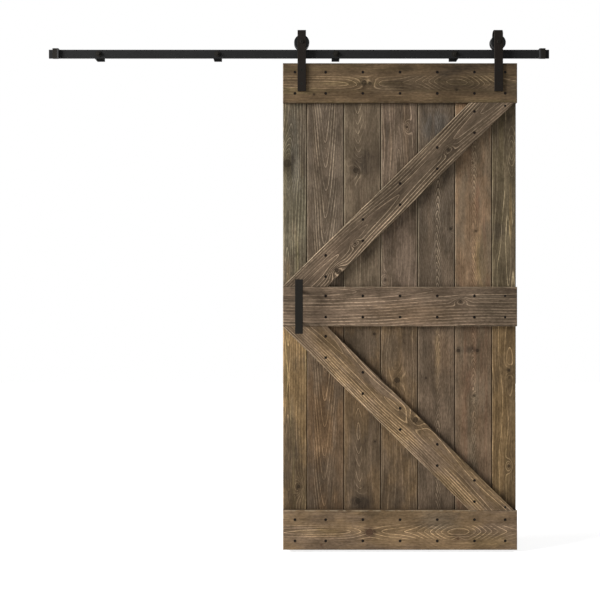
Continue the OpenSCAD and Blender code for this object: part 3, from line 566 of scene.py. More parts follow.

# Grain of every board. Places on a board are metres from its middle, along the grain and across it.
# stain is the main tone and low_stain that of a plank's lower half; patch and streak lie over them, each
# with its share. arch_gap is the way from one arch to the next, and its sign says where they point;
# arch_round is how blunt they are, heart_shift where their middle lies, line_gap the way between the
# lines beside them, and band how far from the middle the lines show. sway and warp bend the lines;
# line_strength and fine_lines say how pale they are. rubbed is the wear at a plank's joints
# together with a painted highlight by its left bevel, and worn the wear at a board's edges. A knot is
# (along, across, radius); knot_tone is its stain, and knot_push the rings that it bends. An eye bends the
# rings without a knot: (along, across, length, width, rings).
# A smudge is a stain in one place: (along, across, length, width, stain, share).
GRAIN = {
    "plank_1": dict(
        stain="olive", low_stain="amber", patch="dusk", patch_share=0.65, streak="moss", streak_share=0.25,
        arch_gap=3.0, line_gap=0.0135, heart_shift=0.030, arch_round=0.5, sway=0.8, warp=0.35,
        line_strength=0.6, knot_push=-4.0, knots=[(0.630, 0.034, 0.019), (-0.794, -0.015, 0.009)],
        eyes=[(0.66, 0.034, 0.12, 0.030, -1.6), (-0.02, 0.034, 0.26, 0.022, -3.0),
              (-0.60, 0.03, 0.20, 0.02, -2.2)],
        smudges=[(0.70, 0.0, 0.22, 0.09, "ash", 0.5), (0.635, 0.03, 0.07, 0.04, "charcoal", 0.7),
                 (0.144, 0.031, 0.06, 0.009, "straw", 0.5), (-0.80, -0.01, 0.20, 0.08, "charcoal", 0.6)]),
    "plank_2": dict(
        stain="slate", low_stain="chestnut", patch="dusk", streak="fawn",
        arch_gap=-0.115, line_gap=0.0095, heart_shift=0.004, arch_round=1.9, sway=0.4, warp=0.25,
        line_strength=0.65, band=0.040, smudges=[(-0.80, 0.05, 0.16, 0.05, "charcoal", 0.5)]),
    "plank_3": dict(
        stain="umber", low_stain="walnut", patch="dusk", streak="fawn", rubbed=0.7,
        arch_gap=-4.0, line_gap=0.017, heart_shift=0.018, arch_round=0.25, sway=0.3, warp=0.35,
        line_strength=0.65, fine_lines=0.05, band=0.006,
        knots=[(0.600, 0.030, 0.013), (-0.121, -0.051, 0.007), (-0.857, 0.020, 0.014),
               (-0.595, -0.055, 0.005)],
        eyes=[(0.98, 0.018, 0.30, 0.20, -8.0), (-0.55, 0.012, 0.14, 0.20, -3.0)],
        smudges=[(0.62, -0.015, 0.07, 0.055, "charcoal", 0.65), (-0.82, 0.0, 0.06, 0.06, "charcoal", 0.3),
                 (-0.87, 0.01, 0.04, 0.06, "charcoal", 0.85),
                 (-0.16, 0.0, 0.10, 0.08, "dusk", 0.9), (-0.58, -0.02, 0.14, 0.06, "caramel", 0.6)]),
    "plank_4": dict(
        stain="hazel", low_stain="walnut", patch="dusk", streak="clay", rubbed=0.7,
        arch_gap=4.0, line_gap=0.028, heart_shift=0.004, arch_round=0.4, sway=0.8, warp=0.5,
        line_strength=0.4, fine_lines=0.08,
        knots=[(0.791, -0.033, 0.006), (0.117, 0.063, 0.006), (-0.325, 0.011, 0.014)],
        eyes=[(0.58, 0.004, 0.22, 0.020, -3.0), (-0.30, 0.02, 0.12, 0.03, -2.5)],
        smudges=[(0.77, 0.05, 0.05, 0.03, "charcoal", 0.6), (-0.84, 0.03, 0.06, 0.06, "charcoal", 0.45),
                 (-0.19, 0.04, 0.10, 0.05, "dusk", 0.7), (-0.22, -0.05, 0.09, 0.05, "tan", 0.7)]),
    "plank_5": dict(
        stain="slate", low_stain="fawn", patch="dusk", streak="fawn", streak_share=0.5,
        arch_gap=0.032, line_gap=0.008, heart_shift=-0.006, arch_round=0.3, sway=0.5, warp=0.3,
        line_strength=0.8, band=0.002,
        knots=[(0.343, -0.062, 0.007), (-0.315, 0.046, 0.004)],
        smudges=[(0.79, 0.0, 0.08, 0.07, "ash", 0.8), (-0.25, -0.004, 0.14, 0.014, "straw", 0.55),
                 (0.14, 0.05, 0.10, 0.03, "charcoal", 0.4), (-0.25, -0.02, 0.16, 0.06, "tan", 0.5)]),
    "plank_6": dict(
        stain="tan", low_stain="clay", patch="umber", patch_share=0.8, streak="russet", streak_share=0.5,
        arch_gap=0.026, line_gap=0.008, heart_shift=-0.001, arch_round=0.3, sway=0.6, warp=0.4,
        line_strength=0.45, band=0.002,
        knots=[(0.333, -0.010, 0.005), (0.632, 0.003, 0.004), (-0.194, 0.067, 0.009),
               (-0.194, -0.017, 0.008), (-0.393, -0.002, 0.005)],
        smudges=[(-0.19, 0.03, 0.02, 0.05, "charcoal", 0.7), (0.483, -0.016, 0.10, 0.012, "russet", 0.7),
                 (-0.33, 0.015, 0.06, 0.018, "russet", 0.8), (0.20, -0.035, 0.13, 0.03, "straw", 0.7),
                 (0.46, 0.05, 0.15, 0.02, "umber", 0.7), (-0.50, 0.01, 0.10, 0.05, "tan", 0.8)]),
    "plank_7": dict(
        stain="sepia", low_stain="amber", patch="dusk", patch_share=0.35, streak="moss", streak_share=0.2,
        arch_gap=3.0, line_gap=0.03, heart_shift=-0.033, arch_round=0.3, sway=0.9, warp=0.5,
        line_strength=0.7, fine_lines=0.1, knots=[(-0.281, -0.021, 0.007), (-0.703, -0.021, 0.006)],
        eyes=[(0.69, -0.033, 0.07, 0.020, -3.4), (0.20, -0.02, 0.20, 0.012, 2.0),
              (-0.30, -0.021, 0.10, 0.015, -2.4)],
        smudges=[(0.33, 0.03, 0.05, 0.04, "charcoal", 0.6), (0.40, -0.029, 0.14, 0.007, "straw", 0.5),
                 (0.76, 0.01, 0.11, 0.07, "charcoal", 0.5)]),
    "top_rail": dict(
        stain="bark", patch="walnut", patch_share=0.5, streak="moss", streak_share=0.25, worn=0.4,
        arch_gap=8.0, line_gap=0.015, heart_shift=0.0, arch_round=0.4, sway=0.3, warp=0.35,
        line_strength=0.5, knot_push=1.6, fine_lines=0.12, band=0.022,
        knots=[(-0.159, 0.0, 0.013), (-0.132, -0.003, 0.009), (0.248, -0.030, 0.006),
               (-0.377, -0.051, 0.004)],
        eyes=[(0.25, 0.0, 0.15, 0.20, -7.6), (-0.33, 0.004, 0.28, 0.03, -1.5)],
        smudges=[(0.19, 0.049, 0.085, 0.035, "charcoal", 0.6), (-0.145, 0.0, 0.06, 0.025, "charcoal", 0.5),
                 (0.0, 0.08, 0.7, 0.05, "soot", 0.4), (0.0, -0.07, 0.7, 0.035, "walnut", 0.5)]),
    "middle_rail": dict(
        stain="driftwood", patch="dusk", patch_share=0.4, streak="slate", worn=0.7,
        arch_gap=0.40, line_gap=0.013, heart_shift=0.066, arch_round=2.0, sway=0.6, warp=0.5,
        line_strength=0.62, fine_lines=0.15, knots=[(0.265, 0.022, 0.007)],
        smudges=[(0.44, 0.0, 0.13, 0.11, "dusk", 0.9), (0.06, -0.03, 0.22, 0.05, "tan", 0.5)]),
    "bottom_rail": dict(
        stain="honey", knot_tone="cherry", patch="driftwood", streak="amber", streak_share=0.4, worn=1.0,
        arch_gap=8.0, line_gap=0.015, heart_shift=-0.008, arch_round=0.4, sway=0.3, warp=0.35,
        line_strength=0.6, knot_push=1.6, fine_lines=0.12, band=0.022,
        knots=[(-0.134, -0.010, 0.016), (0.254, -0.037, 0.006), (-0.345, -0.064, 0.004)],
        eyes=[(0.258, -0.008, 0.15, 0.20, -7.6), (-0.33, -0.004, 0.28, 0.03, -1.5)],
        smudges=[(-0.132, 0.08, 0.05, 0.02, "charcoal", 0.7),
                 (-0.134, -0.010, 0.034, 0.026, "charcoal", 0.6),
                 (-0.38, -0.004, 0.12, 0.010, "straw", 0.5), (0.17, 0.04, 0.10, 0.05, "umber", 0.8),
                 (0.42, -0.04, 0.14, 0.04, "straw", 0.35)]),
    "upper_brace": dict(
        stain="cocoa", patch="dusk", patch_share=0.5, streak="driftwood", streak_share=0.4, worn=0.6,
        arch_gap=10.0, line_gap=0.0095, heart_shift=-0.003, arch_round=3.0, sway=0.4, warp=0.3,
        line_strength=1.0, fine_lines=0.05,
        knots=[(-0.426, -0.045, 0.010), (0.293, -0.013, 0.007), (-0.286, -0.018, 0.005)],
        eyes=[(0.16, -0.003, 0.40, 0.20, 2.9)],
        smudges=[(-0.46, 0.0, 0.20, 0.08, "driftwood", 0.7), (0.06, 0.0, 0.20, 0.06, "dusk", 0.4)]),
    "lower_brace": dict(
        stain="caramel", patch="driftwood", streak="fawn", streak_share=0.3, worn=0.5,
        arch_gap=2.0, line_gap=0.008, heart_shift=0.030, arch_round=5.0, sway=0.5, warp=0.4,
        line_strength=0.68, fine_lines=0.05, knots=[(0.057, 0.046, 0.013)],
        eyes=[(-0.25, 0.02, 0.20, 0.20, 0.8), (0.35, 0.0, 0.20, 0.20, 0.9)]),
}


# What a board has where its own grain doesn't say otherwise
USUAL_GRAIN = dict(
    eyes=[], knots=[], smudges=[], knot_push=3.0, knot_tone="soot", patch_share=0.7, streak_share=0.4,
    fine_lines=0.2, band=1.0, rubbed=0.5, worn=0.0,
)
RING_VALUES = ("arch_gap", "line_gap", "heart_shift", "arch_round", "sway", "warp")
KNOT_REACH_ALONG = 4.0
KNOT_REACH_ACROSS = 2.2
NO_KNOT = 1e-4

# From a plank's upper half to its lower half: lengths of the change, and what is left below
STAIN_BLEND = 0.12
LINE_BLEND = 0.2
LOW_LINES = 0.7
LOW_RUB_AND_HIGHLIGHT = 0.3

# Wear, dirt, dark marks and painted shade on the wood
EDGE_REACH = 0.0028
EDGE_GRAIN = 45.0
SCREW_RING_SHARE = 0.85
DIRT_AND_SHADE_SHARE = 0.9
# Planks darken towards the bottom rail, from the first height down to the second.
FOOT_DARK_START, FOOT_DARK_END, FOOT_DARK_SHARE = -0.80, -0.92, 0.35
# Painted shade: the sides of a rail or brace darken from the first depth to the second, towards the planks
# behind, as a contact shadow in the crease.
CREASE_SHADE_START, CREASE_SHADE_END, CREASE_SHADE_SHARE = 0.005, 0.013, 0.8

# Screws in the rails and braces: columns one pitch apart, and on two rails a last one at each end
DOOR_MIDDLE = middle_of("top_rail_screws").x
SCREW_PITCH = 0.163
SCREW_ENDS = 0.4605
SCREW_ROW = 0.0465
SCREW_RING_REACH = 0.0078
NO_END_SCREWS = 10.0
NO_JOINT = 1.0
BRACE_W = 0.138


def board_material(name, middle, turn, half_size, seed, joints=None, screws=None):
    """Wood of one board. turn lays the grain's own X along the board, about the depth axis.

    joints, on a plank, are the ways from its middle to the joints on its left and right. screws, on a
    rail or brace, are the middle of its screws, the way to the last ones, and how the rows rise.
    """
    grain = {**USUAL_GRAIN, **GRAIN[name]}
    material, wiring, shader, position = new_material(f"{name} stained pine")
    place = wiring.add(
        "ShaderNodeMapping", vector_type="TEXTURE",
        named={"Vector": position, "Location": middle, "Rotation": (0.0, turn, 0.0)},
    ).outputs[0]
    up, deep, _ = wiring.split(place)
    grown = wiring.group(
        growth_rings, position=place, seed=seed, **{value: grain[value] for value in RING_VALUES})
    knots = None
    for along, across, length, width, push in grain["eyes"]:
        grown = wiring.group(
            knot, position=place, rings=grown["Rings"], slope=grown["Slope"], along=along,
            across=across, size=NO_KNOT, reach_along=length, reach_across=width, push=push)
    for along, across, size in grain["knots"]:
        grown = wiring.group(
            knot, position=place, rings=grown["Rings"], slope=grown["Slope"], knots=knots,
            along=along, across=across, size=size, reach_along=KNOT_REACH_ALONG * size,
            reach_across=KNOT_REACH_ACROSS * size, push=grain["knot_push"])
        knots = grown["Knots"]
    stain, strength = STAINS[grain["stain"]], grain["line_strength"]
    if "low_stain" in grain:
        above = wiring.ramp(up, -STAIN_BLEND, STAIN_BLEND)
        stain = wiring.mix(above, STAINS[grain["low_stain"]], stain)
        strength = wiring.ramp(up, -LINE_BLEND, LINE_BLEND, LOW_LINES * strength, strength)
    for along, across, length, width, colour, share in grain["smudges"]:
        mark = wiring.group(
            smudge, position=place, along=along, across=across, length=length, width=width)["Mark"]
        stain = wiring.mix(wiring.times(mark, share), stain, STAINS[colour])
    surface = wiring.group(
        stained_grain, position=place, rings=grown["Rings"], slope=grown["Slope"], knots=knots,
        stain=stain, patch=STAINS[grain["patch"]], streak=STAINS[grain["streak"]],
        line_strength=strength, fine_lines=grain["fine_lines"], heart_shift=grain["heart_shift"],
        band=grain["band"], patch_share=grain["patch_share"], streak_share=grain["streak_share"],
        knot_tone=STAINS[grain["knot_tone"]], seed=seed)
    wear = wiring.group(
        worn_edge, position=wiring.moved(place, (0.0, -half_size[1], 0.0)), half_size=half_size,
        reach=EDGE_REACH, grain=EDGE_GRAIN)["Wear"]
    colour = wiring.mix(wiring.times(wear, grain["worn"]), surface["Color"], WORN_WOOD)
    if screws:
        screw_middle, ends, rise = screws
        # A dark ring in the wood round each screw.
        screw_ring_mark = wiring.group(
            screw_ring, position=wiring.moved(position, -screw_middle), pitch=SCREW_PITCH, ends=ends,
            row=SCREW_ROW, rise=rise, reach=SCREW_RING_REACH)["Mark"]
        colour = wiring.mix(wiring.times(screw_ring_mark, SCREW_RING_SHARE), colour, SCREW_RING_TONE)
        # Painted shade: the sides darken towards the planks behind, as a contact shadow in the crease.
        crease_shade = wiring.ramp(deep, CREASE_SHADE_START, CREASE_SHADE_END, 0.0, CREASE_SHADE_SHARE)
        colour = wiring.mix(crease_shade, colour, DIRT_AND_SHADE_TONE)
    if joints:
        joint = wiring.group(plank_joint, position=place, left_edge=joints[0], right_edge=joints[1])
        # Rubbed wood with a painted highlight by the left bevel, fainter on a plank's lower half.
        rubbed = wiring.ramp(
            up, -LINE_BLEND, LINE_BLEND, LOW_RUB_AND_HIGHLIGHT * grain["rubbed"], grain["rubbed"])
        colour = wiring.mix(wiring.times(joint["Rubbed"], rubbed), colour, WORN_WOOD)
        # Planks darken towards the bottom rail.
        darker_foot = wiring.ramp(up, FOOT_DARK_START, FOOT_DARK_END, 0.0, FOOT_DARK_SHARE)
        # Dust in the joints and seams, with painted shade on the right bevel, joined with the darker foot.
        dirt_and_shade = wiring.larger(wiring.times(joint["Dirt"], DIRT_AND_SHADE_SHARE), darker_foot)
        colour = wiring.mix(dirt_and_shade, colour, DIRT_AND_SHADE_TONE)
    dress(
        wiring, shader, colour, surface["Roughness"], surface["Height"],
        strength=0.7, distance=0.0007, gloss=0.03)
    return material


def brace_screws(brace):
    """Middle of the two screws halfway along a brace, and how much its rows of screws rise."""
    places = axes_of(f"{brace}_screws", 0.015)

    def level(column):
        pair = [z for x, z in places if abs(x - DOOR_MIDDLE - column * SCREW_PITCH) < 0.01]
        return sum(pair) / len(pair)
    return Vector((DOOR_MIDDLE, 0.0, level(0))), (level(2) - level(-2)) / (4 * SCREW_PITCH)


def brace_slope(low, high):
    """Angle of a brace above the level, from the corners of its box."""
    run, rise = high.x - low.x, high.z - low.z
    return math.asin(BRACE_W / math.hypot(run, rise)) + math.atan2(rise, run)


def finish_boards():
    """Gives each plank, rail and brace its own cut of wood, with a seed of its own."""
    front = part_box("plank_1")[0].y
    lefts = [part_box(plank)[0].x for plank in PLANKS] + [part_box(PLANKS[-1])[1].x]
    for index, plank in enumerate(PLANKS):
        low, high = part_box(plank)
        half_width = (lefts[index + 1] - lefts[index]) / 2
        middle = (lefts[index] + half_width, front, (low.z + high.z) / 2)
        half_size = ((high.z - low.z) / 2, (high.y - low.y) / 2, half_width)
        joints = (half_width if index else NO_JOINT, half_width if plank != PLANKS[-1] else NO_JOINT)
        seed = 3.7 * index + 1.3
        set_finish(plank, board_material(plank, middle, -math.pi / 2, half_size, seed, joints))
    for index, rail in enumerate(RAILS):
        low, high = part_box(rail)
        middle = ((low.x + high.x) / 2, low.y, (low.z + high.z) / 2)
        half_size = ((high.x - low.x) / 2, (high.y - low.y) / 2, (high.z - low.z) / 2)
        ends = NO_END_SCREWS if rail == "middle_rail" else SCREW_ENDS
        screws = (Vector((DOOR_MIDDLE, 0.0, middle_of(f"{rail}_screws").z)), ends, 0.0)
        seed = 4.9 * index + 40.1
        set_finish(rail, board_material(rail, middle, 0.0, half_size, seed, screws=screws))
    for index, brace in enumerate(BRACES):
        low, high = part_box(brace)
        side = -1 if brace == "upper_brace" else 1
        middle = ((low.x + high.x) / 2, low.y, (low.z + high.z) / 2)
        half_size = (high.x - low.x, (high.y - low.y) / 2, BRACE_W / 2)
        screw_middle, screw_rise = brace_screws(brace)
        screws = (screw_middle, NO_END_SCREWS, screw_rise)
        seed = 6.1 * index + 70.3
        turn = side * brace_slope(low, high)
        set_finish(brace, board_material(brace, middle, turn, half_size, seed, screws=screws))


# Steel, nylon and rubber. A coat's two tones are its dark and its light clouds.

TRACK_COAT = tint(36, 36, 36), tint(39, 39, 39)
BAR_COAT = tint(36, 34, 31), tint(39, 37, 34)
STRAP_COAT = tint(34, 30, 27), tint(37, 33, 30)
# Painted shade: the spacers have the track's black coat, made near black as if in the track's shade.
SPACER_SHADED_COAT = tint(8, 8, 8), tint(13, 12, 12)
RUBBED_COAT = tint(70, 66, 61)
RUBBED_SHARE = 0.3
NO_EDGES = Vector((10.0, 10.0, 10.0))
TOOL_RINGS = 9000.0


def coated_steel(name, tones, middle=Vector(), half_size=NO_EDGES, gloss=0.03):
    """Matte black baked coat, rubbed along the edges of a bar that gives its middle and half its size."""
    material, wiring, shader, position = new_material(name)
    coat = wiring.group(coated_surface, position=position)
    wear = wiring.group(
        worn_edge, position=wiring.moved(position, -middle), half_size=half_size, reach=0.0009,
        grain=120.0)["Wear"]
    base = wiring.mix(wiring.ramp(coat["Clouds"], 0.3, 0.7), *tones)
    dress(
        wiring, shader, wiring.mix(wiring.times(wear, RUBBED_SHARE), base, RUBBED_COAT),
        wiring.ramp(coat["Clouds"], 0.25, 0.75, 0.72, 0.86), coat["Pebbles"],
        strength=0.35, distance=0.0002, gloss=gloss)
    return material


def blackened_steel():
    """Oiled black finish of bolts, nuts, screws and washers."""
    material, wiring, shader, position = new_material("blackened fastener steel")
    coat = wiring.group(coated_surface, position=position, pebble=2600.0, cloud=140.0)
    base = wiring.mix(wiring.ramp(coat["Clouds"], 0.4, 0.75), tint(9, 8, 7), tint(22, 19, 17))
    dress(
        wiring, shader, base, wiring.ramp(coat["Clouds"], 0.3, 0.7, 0.36, 0.55), coat["Pebbles"],
        strength=0.25, distance=0.0001, gloss=0.1)
    return material


def turned_nylon(name, middle):
    """Black nylon with fine tool rings round the axle."""
    material, wiring, shader, position = new_material(name)
    x, y, z = wiring.split(wiring.moved(position, -middle))
    tool = wiring.math("SINE", wiring.times(wiring.plus(wiring.hypot(x, z), y), TOOL_RINGS))
    coat = wiring.group(coated_surface, position=position, pebble=1500.0, cloud=60.0)
    base = wiring.mix(coat["Clouds"], tint(14, 14, 14), tint(28, 28, 28))
    dress(
        wiring, shader, base, wiring.ramp(coat["Clouds"], 0.3, 0.7, 0.4, 0.52), tool,
        strength=0.2, distance=0.00005, gloss=0.2)
    return material


def bumper_rubber():
    """Dull black rubber with a dusty bloom."""
    material, wiring, shader, position = new_material("bumper rubber")
    coat = wiring.group(coated_surface, position=position, pebble=1800.0, cloud=110.0)
    base = wiring.mix(wiring.ramp(coat["Clouds"], 0.45, 0.8), tint(16, 16, 16), tint(40, 39, 38))
    dress(
        wiring, shader, base, wiring.ramp(coat["Clouds"], 0.2, 0.8, 0.72, 0.9), coat["Pebbles"],
        strength=0.3, distance=0.0001)
    return material


def bearing_steel():
    """Ground bright steel with a thin film of grease."""
    material, wiring, shader, position = new_material("ground bearing steel")
    coat = wiring.group(coated_surface, position=position, pebble=4000.0, cloud=260.0)
    base = wiring.mix(coat["Clouds"], tint(150, 150, 153), tint(186, 186, 190))
    dress(
        wiring, shader, base, wiring.ramp(coat["Clouds"], 0.3, 0.7, 0.2, 0.36), coat["Pebbles"],
        strength=0.15, distance=0.00003)
    shader.inputs["Metallic"].default_value = 1.0
    return material


def finish_hardware():
    """Gives the bars their coat, and the fasteners, wheels, bumpers and bearings their finish."""
    coats = {"track": TRACK_COAT}
    coats.update((bar, BAR_COAT) for bar in ["handle_bar"] + STOPS)
    coats.update((strap, STRAP_COAT) for strap in STRAPS)
    for bar, tones in coats.items():
        low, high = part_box(bar)
        set_finish(bar, coated_steel(f"{bar} black coat", tones, middle_of(bar), (high - low) / 2))
    for wheel in WHEELS:
        set_finish(wheel, turned_nylon(f"{wheel} nylon", middle_of(wheel)))
    fastener = blackened_steel()
    shared = (
        (coated_steel("small pieces black coat", BAR_COAT), COATED_SMALL),
        # The spacers' coat is darkened as painted shade.
        (coated_steel("spacer black coat", SPACER_SHADED_COAT, gloss=0.02), ["track_spacers"]),
        (fastener, FASTENERS + WOOD_SCREW_NODES),
        (bumper_rubber(), BUMPERS),
        (bearing_steel(), BEARINGS),
    )
    for finish, pieces in shared:
        for piece in pieces:
            set_finish(piece, finish)
    fit_screws(fastener)


# Screws and threads, grown by Geometry Nodes on a point at each place

SCREW_HEAD_R = 0.0052
SCREW_SHANK_R = 0.0024
SCREW_LENGTH = 0.028
WALL_THREAD_R = 0.0037
STRAP_BOLT_R = 0.004
AXLE_R = 0.005
BOLTS_APART = 0.03
THREAD_SINK = 0.0002
WALL_THREAD_GAP = 0.003


def wound_ridge(wiring, radius, ridge, length, pitch, steps, sides):
    """A ridge with a few flat sides that winds up Z round a core, in so many steps a turn."""
    path = wiring.add("GeometryNodeCurveSpiral", named={
        "Resolution": steps, "Rotations": wiring.over(length, pitch), "Start Radius": radius,
        "End Radius": radius, "Height": length})
    profile = wiring.add("GeometryNodeCurvePrimitiveCircle", named={
        "Resolution": sides, "Radius": ridge})
    return wiring.add("GeometryNodeCurveToMesh", named={
        "Curve": path.outputs[0], "Profile Curve": profile.outputs[0], "Fill Caps": True}).outputs[0]


def set_on_points(wiring, given, give, piece, tilt, turn=None):
    """Ends a tree: tilts a piece from Z to Y, and gives one of it at each point, all as one mesh."""
    laid = wiring.add("GeometryNodeTransform", named={"Geometry": piece, "Rotation": (tilt, 0.0, 0.0)})
    placed = wiring.add("GeometryNodeInstanceOnPoints", named={
        "Points": given["Points"], "Instance": laid.outputs[0], "Rotation": turn})
    solid = wiring.add("GeometryNodeRealizeInstances", placed.outputs[0])
    finished = wiring.add("GeometryNodeSetMaterial", named={
        "Geometry": solid.outputs[0], "Material": given["Material"]})
    give("Geometry", finished.outputs[0])


def screw_thread_group():
    """A helical ridge that starts at a point and winds along +Y."""
    wiring, given, give = new_group(
        "Screw thread", "GeometryNodeTree",
        {
            "Points": "geometry", "Core Radius": 0.004, "Ridge": 0.0004, "Length": 0.03,
            "Pitch": 0.003, "Material": "material",
        },
        {"Geometry": "geometry"},
    )
    wound = wound_ridge(
        wiring, given["Core Radius"], given["Ridge"], given["Length"], given["Pitch"], steps=20, sides=4)
    set_on_points(wiring, given, give, wound, -math.pi / 2)
    return wiring.tree


def sunk_screws_group():
    """Countersunk wood screws with a cross recess, each at a turn of its own, heads towards -Y."""
    wiring, given, give = new_group(
        "Sunk screws", "GeometryNodeTree",
        {
            "Points": "geometry", "Head Radius": 0.005, "Shank Radius": 0.0025, "Length": 0.03,
            "Tip": 0.006, "Recess Length": 0.005, "Recess Width": 0.001, "Recess Depth": 0.002,
            "Thread Pitch": 0.0025, "Thread Ridge": 0.0004, "Seed": 1, "Material": "material",
        },
        {"Geometry": "geometry"},
    )
    head_depth = wiring.minus(given["Head Radius"], given["Shank Radius"])
    below_head = wiring.times(head_depth, -1.0)
    end = wiring.times(given["Length"], -1.0)
    shank = wiring.minus(wiring.minus(given["Length"], given["Tip"]), head_depth)
    shank_middle = wiring.times_plus(shank, -0.5, below_head)
    tip_top = wiring.plus(end, given["Tip"])

    def lowered(mesh, height):
        return wiring.add("GeometryNodeTransform", named={
            "Geometry": mesh, "Translation": wiring.joined(0.0, 0.0, height)}).outputs[0]

    head = wiring.add("GeometryNodeMeshCone", named={
        "Vertices": 24, "Radius Top": given["Head Radius"], "Radius Bottom": given["Shank Radius"],
        "Depth": head_depth})
    long, wide = given["Recess Length"], given["Recess Width"]
    slots = []
    for size in ((long, wide), (wide, long)):
        slot = wiring.add("GeometryNodeMeshCube", named={
            "Size": wiring.joined(*size, wiring.times(given["Recess Depth"], 2.0))})
        slots.append(slot.outputs["Mesh"])
    cut = wiring.add("GeometryNodeMeshBoolean", operation="DIFFERENCE", solver="EXACT", named={
        "Mesh 1": lowered(head.outputs["Mesh"], below_head)})
    for slot in slots:
        wiring.feed(cut.inputs["Mesh 2"], slot)
    stem = wiring.add("GeometryNodeMeshCylinder", named={
        "Vertices": 12, "Radius": given["Shank Radius"], "Depth": shank})
    tip = wiring.add("GeometryNodeMeshCone", named={
        "Vertices": 12, "Radius Top": given["Shank Radius"], "Radius Bottom": 0.0, "Depth": given["Tip"]})
    thread = wound_ridge(
        wiring, given["Shank Radius"], given["Thread Ridge"], wiring.times(shank, 0.7),
        given["Thread Pitch"], steps=12, sides=3)
    whole = wiring.add("GeometryNodeJoinGeometry")
    for piece in (
        cut.outputs["Mesh"], lowered(stem.outputs["Mesh"], shank_middle),
        lowered(tip.outputs["Mesh"], end), lowered(thread, tip_top),
    ):
        wiring.feed(whole.inputs[0], piece)
    turn = wiring.add("FunctionNodeRandomValue", data_type="FLOAT")
    wiring.feed(turn.inputs[2], 0.0)
    wiring.feed(turn.inputs[3], math.pi / 2)
    wiring.feed(turn.inputs["Seed"], given["Seed"])
    own_turn = wiring.joined(0.0, turn.outputs[1], 0.0)
    set_on_points(wiring, given, give, whole.outputs[0], math.pi / 2, own_turn)
    return wiring.tree


def grow(tree, name, places, body, **values):
    """Runs a tree on a point at each place, and keeps the result as one plain mesh on a body."""
    points = bpy.data.meshes.new(f"{name} places")
    points.from_pydata(places, [], [])
    carrier = bpy.data.objects.new(f"{name} places", points)
    bpy.context.scene.collection.objects.link(carrier)
    modifier = carrier.modifiers.new(tree.name, "NODES")
    modifier.node_group = tree
    for socket in tree.interface.items_tree:
        key = socket.name.lower().replace(" ", "_")
        if socket.in_out == "INPUT" and key in values:
            modifier[socket.identifier] = values[key]
    whole = carrier.evaluated_get(bpy.context.evaluated_depsgraph_get())
    piece = bpy.data.objects.new(name, bpy.data.meshes.new_from_object(whole))
    bpy.context.scene.collection.objects.link(piece)
    bpy.data.objects.remove(carrier)
    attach(piece, body)
    return piece


def fit_screws(fastener):
    """Puts in the wood screws, and winds threads on the wall screws and on the bolts' tails."""
    places = []
    for node in WOOD_SCREW_NODES:
        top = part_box(node)[0].y
        places += [(x, top, z) for x, z in axes_of(node, 3 * SCREW_HEAD_R)]
    screws = grow(
        sunk_screws_group(), "rail_and_brace_screws", places, "door", head_radius=SCREW_HEAD_R,
        shank_radius=SCREW_SHANK_R, length=SCREW_LENGTH, tip=0.006, recess_length=0.0052,
        recess_width=0.0013, recess_depth=0.0018, thread_pitch=0.0024, thread_ridge=0.0004, seed=5,
        material=fastener)
    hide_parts(*WOOD_SCREW_NODES)

    thread = screw_thread_group()

    def wind(name, body, bolts, start, **sizes):
        """Winds a thread of these sizes on each of some bolts, from start towards the wall."""
        begins = [(x, start, z) for bolt in bolts for x, z in axes_of(bolt, BOLTS_APART)]
        grow(thread, name, begins, body, material=fastener, **sizes)

    wind("wall_screw_threads", "track_frame", ["wall_screws"],
         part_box("track_spacers")[1].y + WALL_THREAD_GAP,
         core_radius=WALL_THREAD_R - THREAD_SINK, ridge=0.0005, length=0.033, pitch=0.003)
    nut_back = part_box("strap_nuts")[1].y
    wind("strap_bolt_threads", "door", ["strap_bolts"], nut_back,
         core_radius=STRAP_BOLT_R - THREAD_SINK, ridge=0.0004,
         length=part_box("strap_bolts")[1].y - nut_back, pitch=0.00125)
    nut_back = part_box("axle_nuts")[1].y
    wind("axle_bolt_threads", "door", AXLE_BOLTS, nut_back,
         core_radius=AXLE_R - THREAD_SINK, ridge=0.0004,
         length=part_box("left_axle_bolt")[1].y - nut_back, pitch=0.0015)


# Floor, light and camera

FLOOR_GAP = 0.012
FLOOR_SIZE = 12.0
CAMERA_DISTANCE = 3.0
FRAME_WIDTH = 2.6288
FRAME_MIDDLE_X = 0.1034
FRAME_MIDDLE_Z = -1.0819
SENSOR_W = 36.0
WHITE = (1.0, 1.0, 1.0, 1.0)
FLOOR_TONE = (0.8, 0.8, 0.8, 1.0)
FLOOR_LIFT = 0.68
SURROUND_LIGHT = 0.205
LAMP_DISTANCE = 8.0


def seen_directly(wiring):
    """One where the camera, a reflection or a clear piece shows the surround, and nought elsewhere."""
    path = wiring.add("ShaderNodeLightPath").outputs
    mirrored = wiring.larger(path["Is Glossy Ray"], path["Is Transmission Ray"])
    return wiring.larger(path["Is Camera Ray"], mirrored)


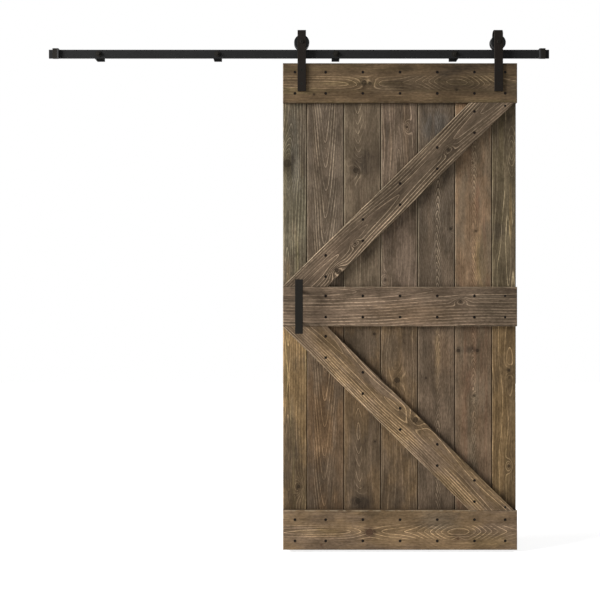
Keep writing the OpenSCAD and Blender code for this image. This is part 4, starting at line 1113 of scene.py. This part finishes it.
def lay_floor():
    """Pale floor just under the door. To the camera it is white, apart from the door's shadow."""
    height = cad_box[0].z - FLOOR_GAP
    reach = FLOOR_SIZE / 2
    mesh = bpy.data.meshes.new("floor")
    corners = [(x * reach, y * reach, height) for x, y in ((-1, -1), (1, -1), (1, 1), (-1, 1))]
    mesh.from_pydata(corners, [], [(0, 1, 2, 3)])
    floor = bpy.data.objects.new("floor", mesh)
    bpy.context.scene.collection.objects.link(floor)
    material, wiring = bare_material("pale floor")
    matte = wiring.add("ShaderNodeBsdfDiffuse", FLOOR_TONE)
    glow = wiring.add("ShaderNodeEmission", WHITE, wiring.times(seen_directly(wiring), FLOOR_LIFT))
    both = wiring.add("ShaderNodeAddShader", matte.outputs[0], glow.outputs[0])
    wiring.add("ShaderNodeOutputMaterial", both.outputs[0])
    mesh.materials.append(material)


def hang_lamp(name, direction, size, energy):
    """A round soft lamp in one direction from the middle of the door, and turned to it."""
    lamp = bpy.data.lights.new(name, "AREA")
    lamp.shape = "DISK"
    lamp.size = size
    lamp.energy = energy
    hung = bpy.data.objects.new(name, lamp)
    away = Vector(direction).normalized() * LAMP_DISTANCE
    hung.location = middle_of("middle_rail") + away
    hung.rotation_euler = (-away).to_track_quat("-Z", "Y").to_euler()
    bpy.context.scene.collection.objects.link(hung)


def light_scene():
    """Even studio light: a bright surround, a wide soft lamp from the left and a weak one behind."""
    world = bpy.data.worlds.new("studio")
    bpy.context.scene.world = world
    world.use_nodes = True
    world.node_tree.nodes.clear()
    wiring = Wiring(world.node_tree)
    around = wiring.add("ShaderNodeBackground", WHITE, SURROUND_LIGHT)
    behind = wiring.add("ShaderNodeBackground", WHITE, 1.0)
    shown = wiring.add(
        "ShaderNodeMixShader", seen_directly(wiring), around.outputs[0], behind.outputs[0])
    wiring.add("ShaderNodeOutputWorld", shown.outputs[0])

    hang_lamp("key lamp", (-0.913, -0.26, 0.314), 2.6, 1310.0)
    hang_lamp("back lamp", (0.45, 0.85, 0.28), 3.2, 260.0)


def place_camera():
    """Looks straight at the door from the front, at the height of the middle rail."""
    lens = bpy.data.cameras.new("camera")
    lens.sensor_width = SENSOR_W
    lens.lens = SENSOR_W * CAMERA_DISTANCE / FRAME_WIDTH
    camera = bpy.data.objects.new("camera", lens)
    camera.location = (FRAME_MIDDLE_X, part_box("middle_rail")[0].y - CAMERA_DISTANCE, FRAME_MIDDLE_Z)
    camera.rotation_euler = (math.pi / 2, 0.0, 0.0)
    bpy.context.scene.collection.objects.link(camera)
    bpy.context.scene.camera = camera


place_camera()
light_scene()
lay_floor()
finish_boards()
finish_hardware()
bpy.context.scene.view_settings.view_transform = "Standard"
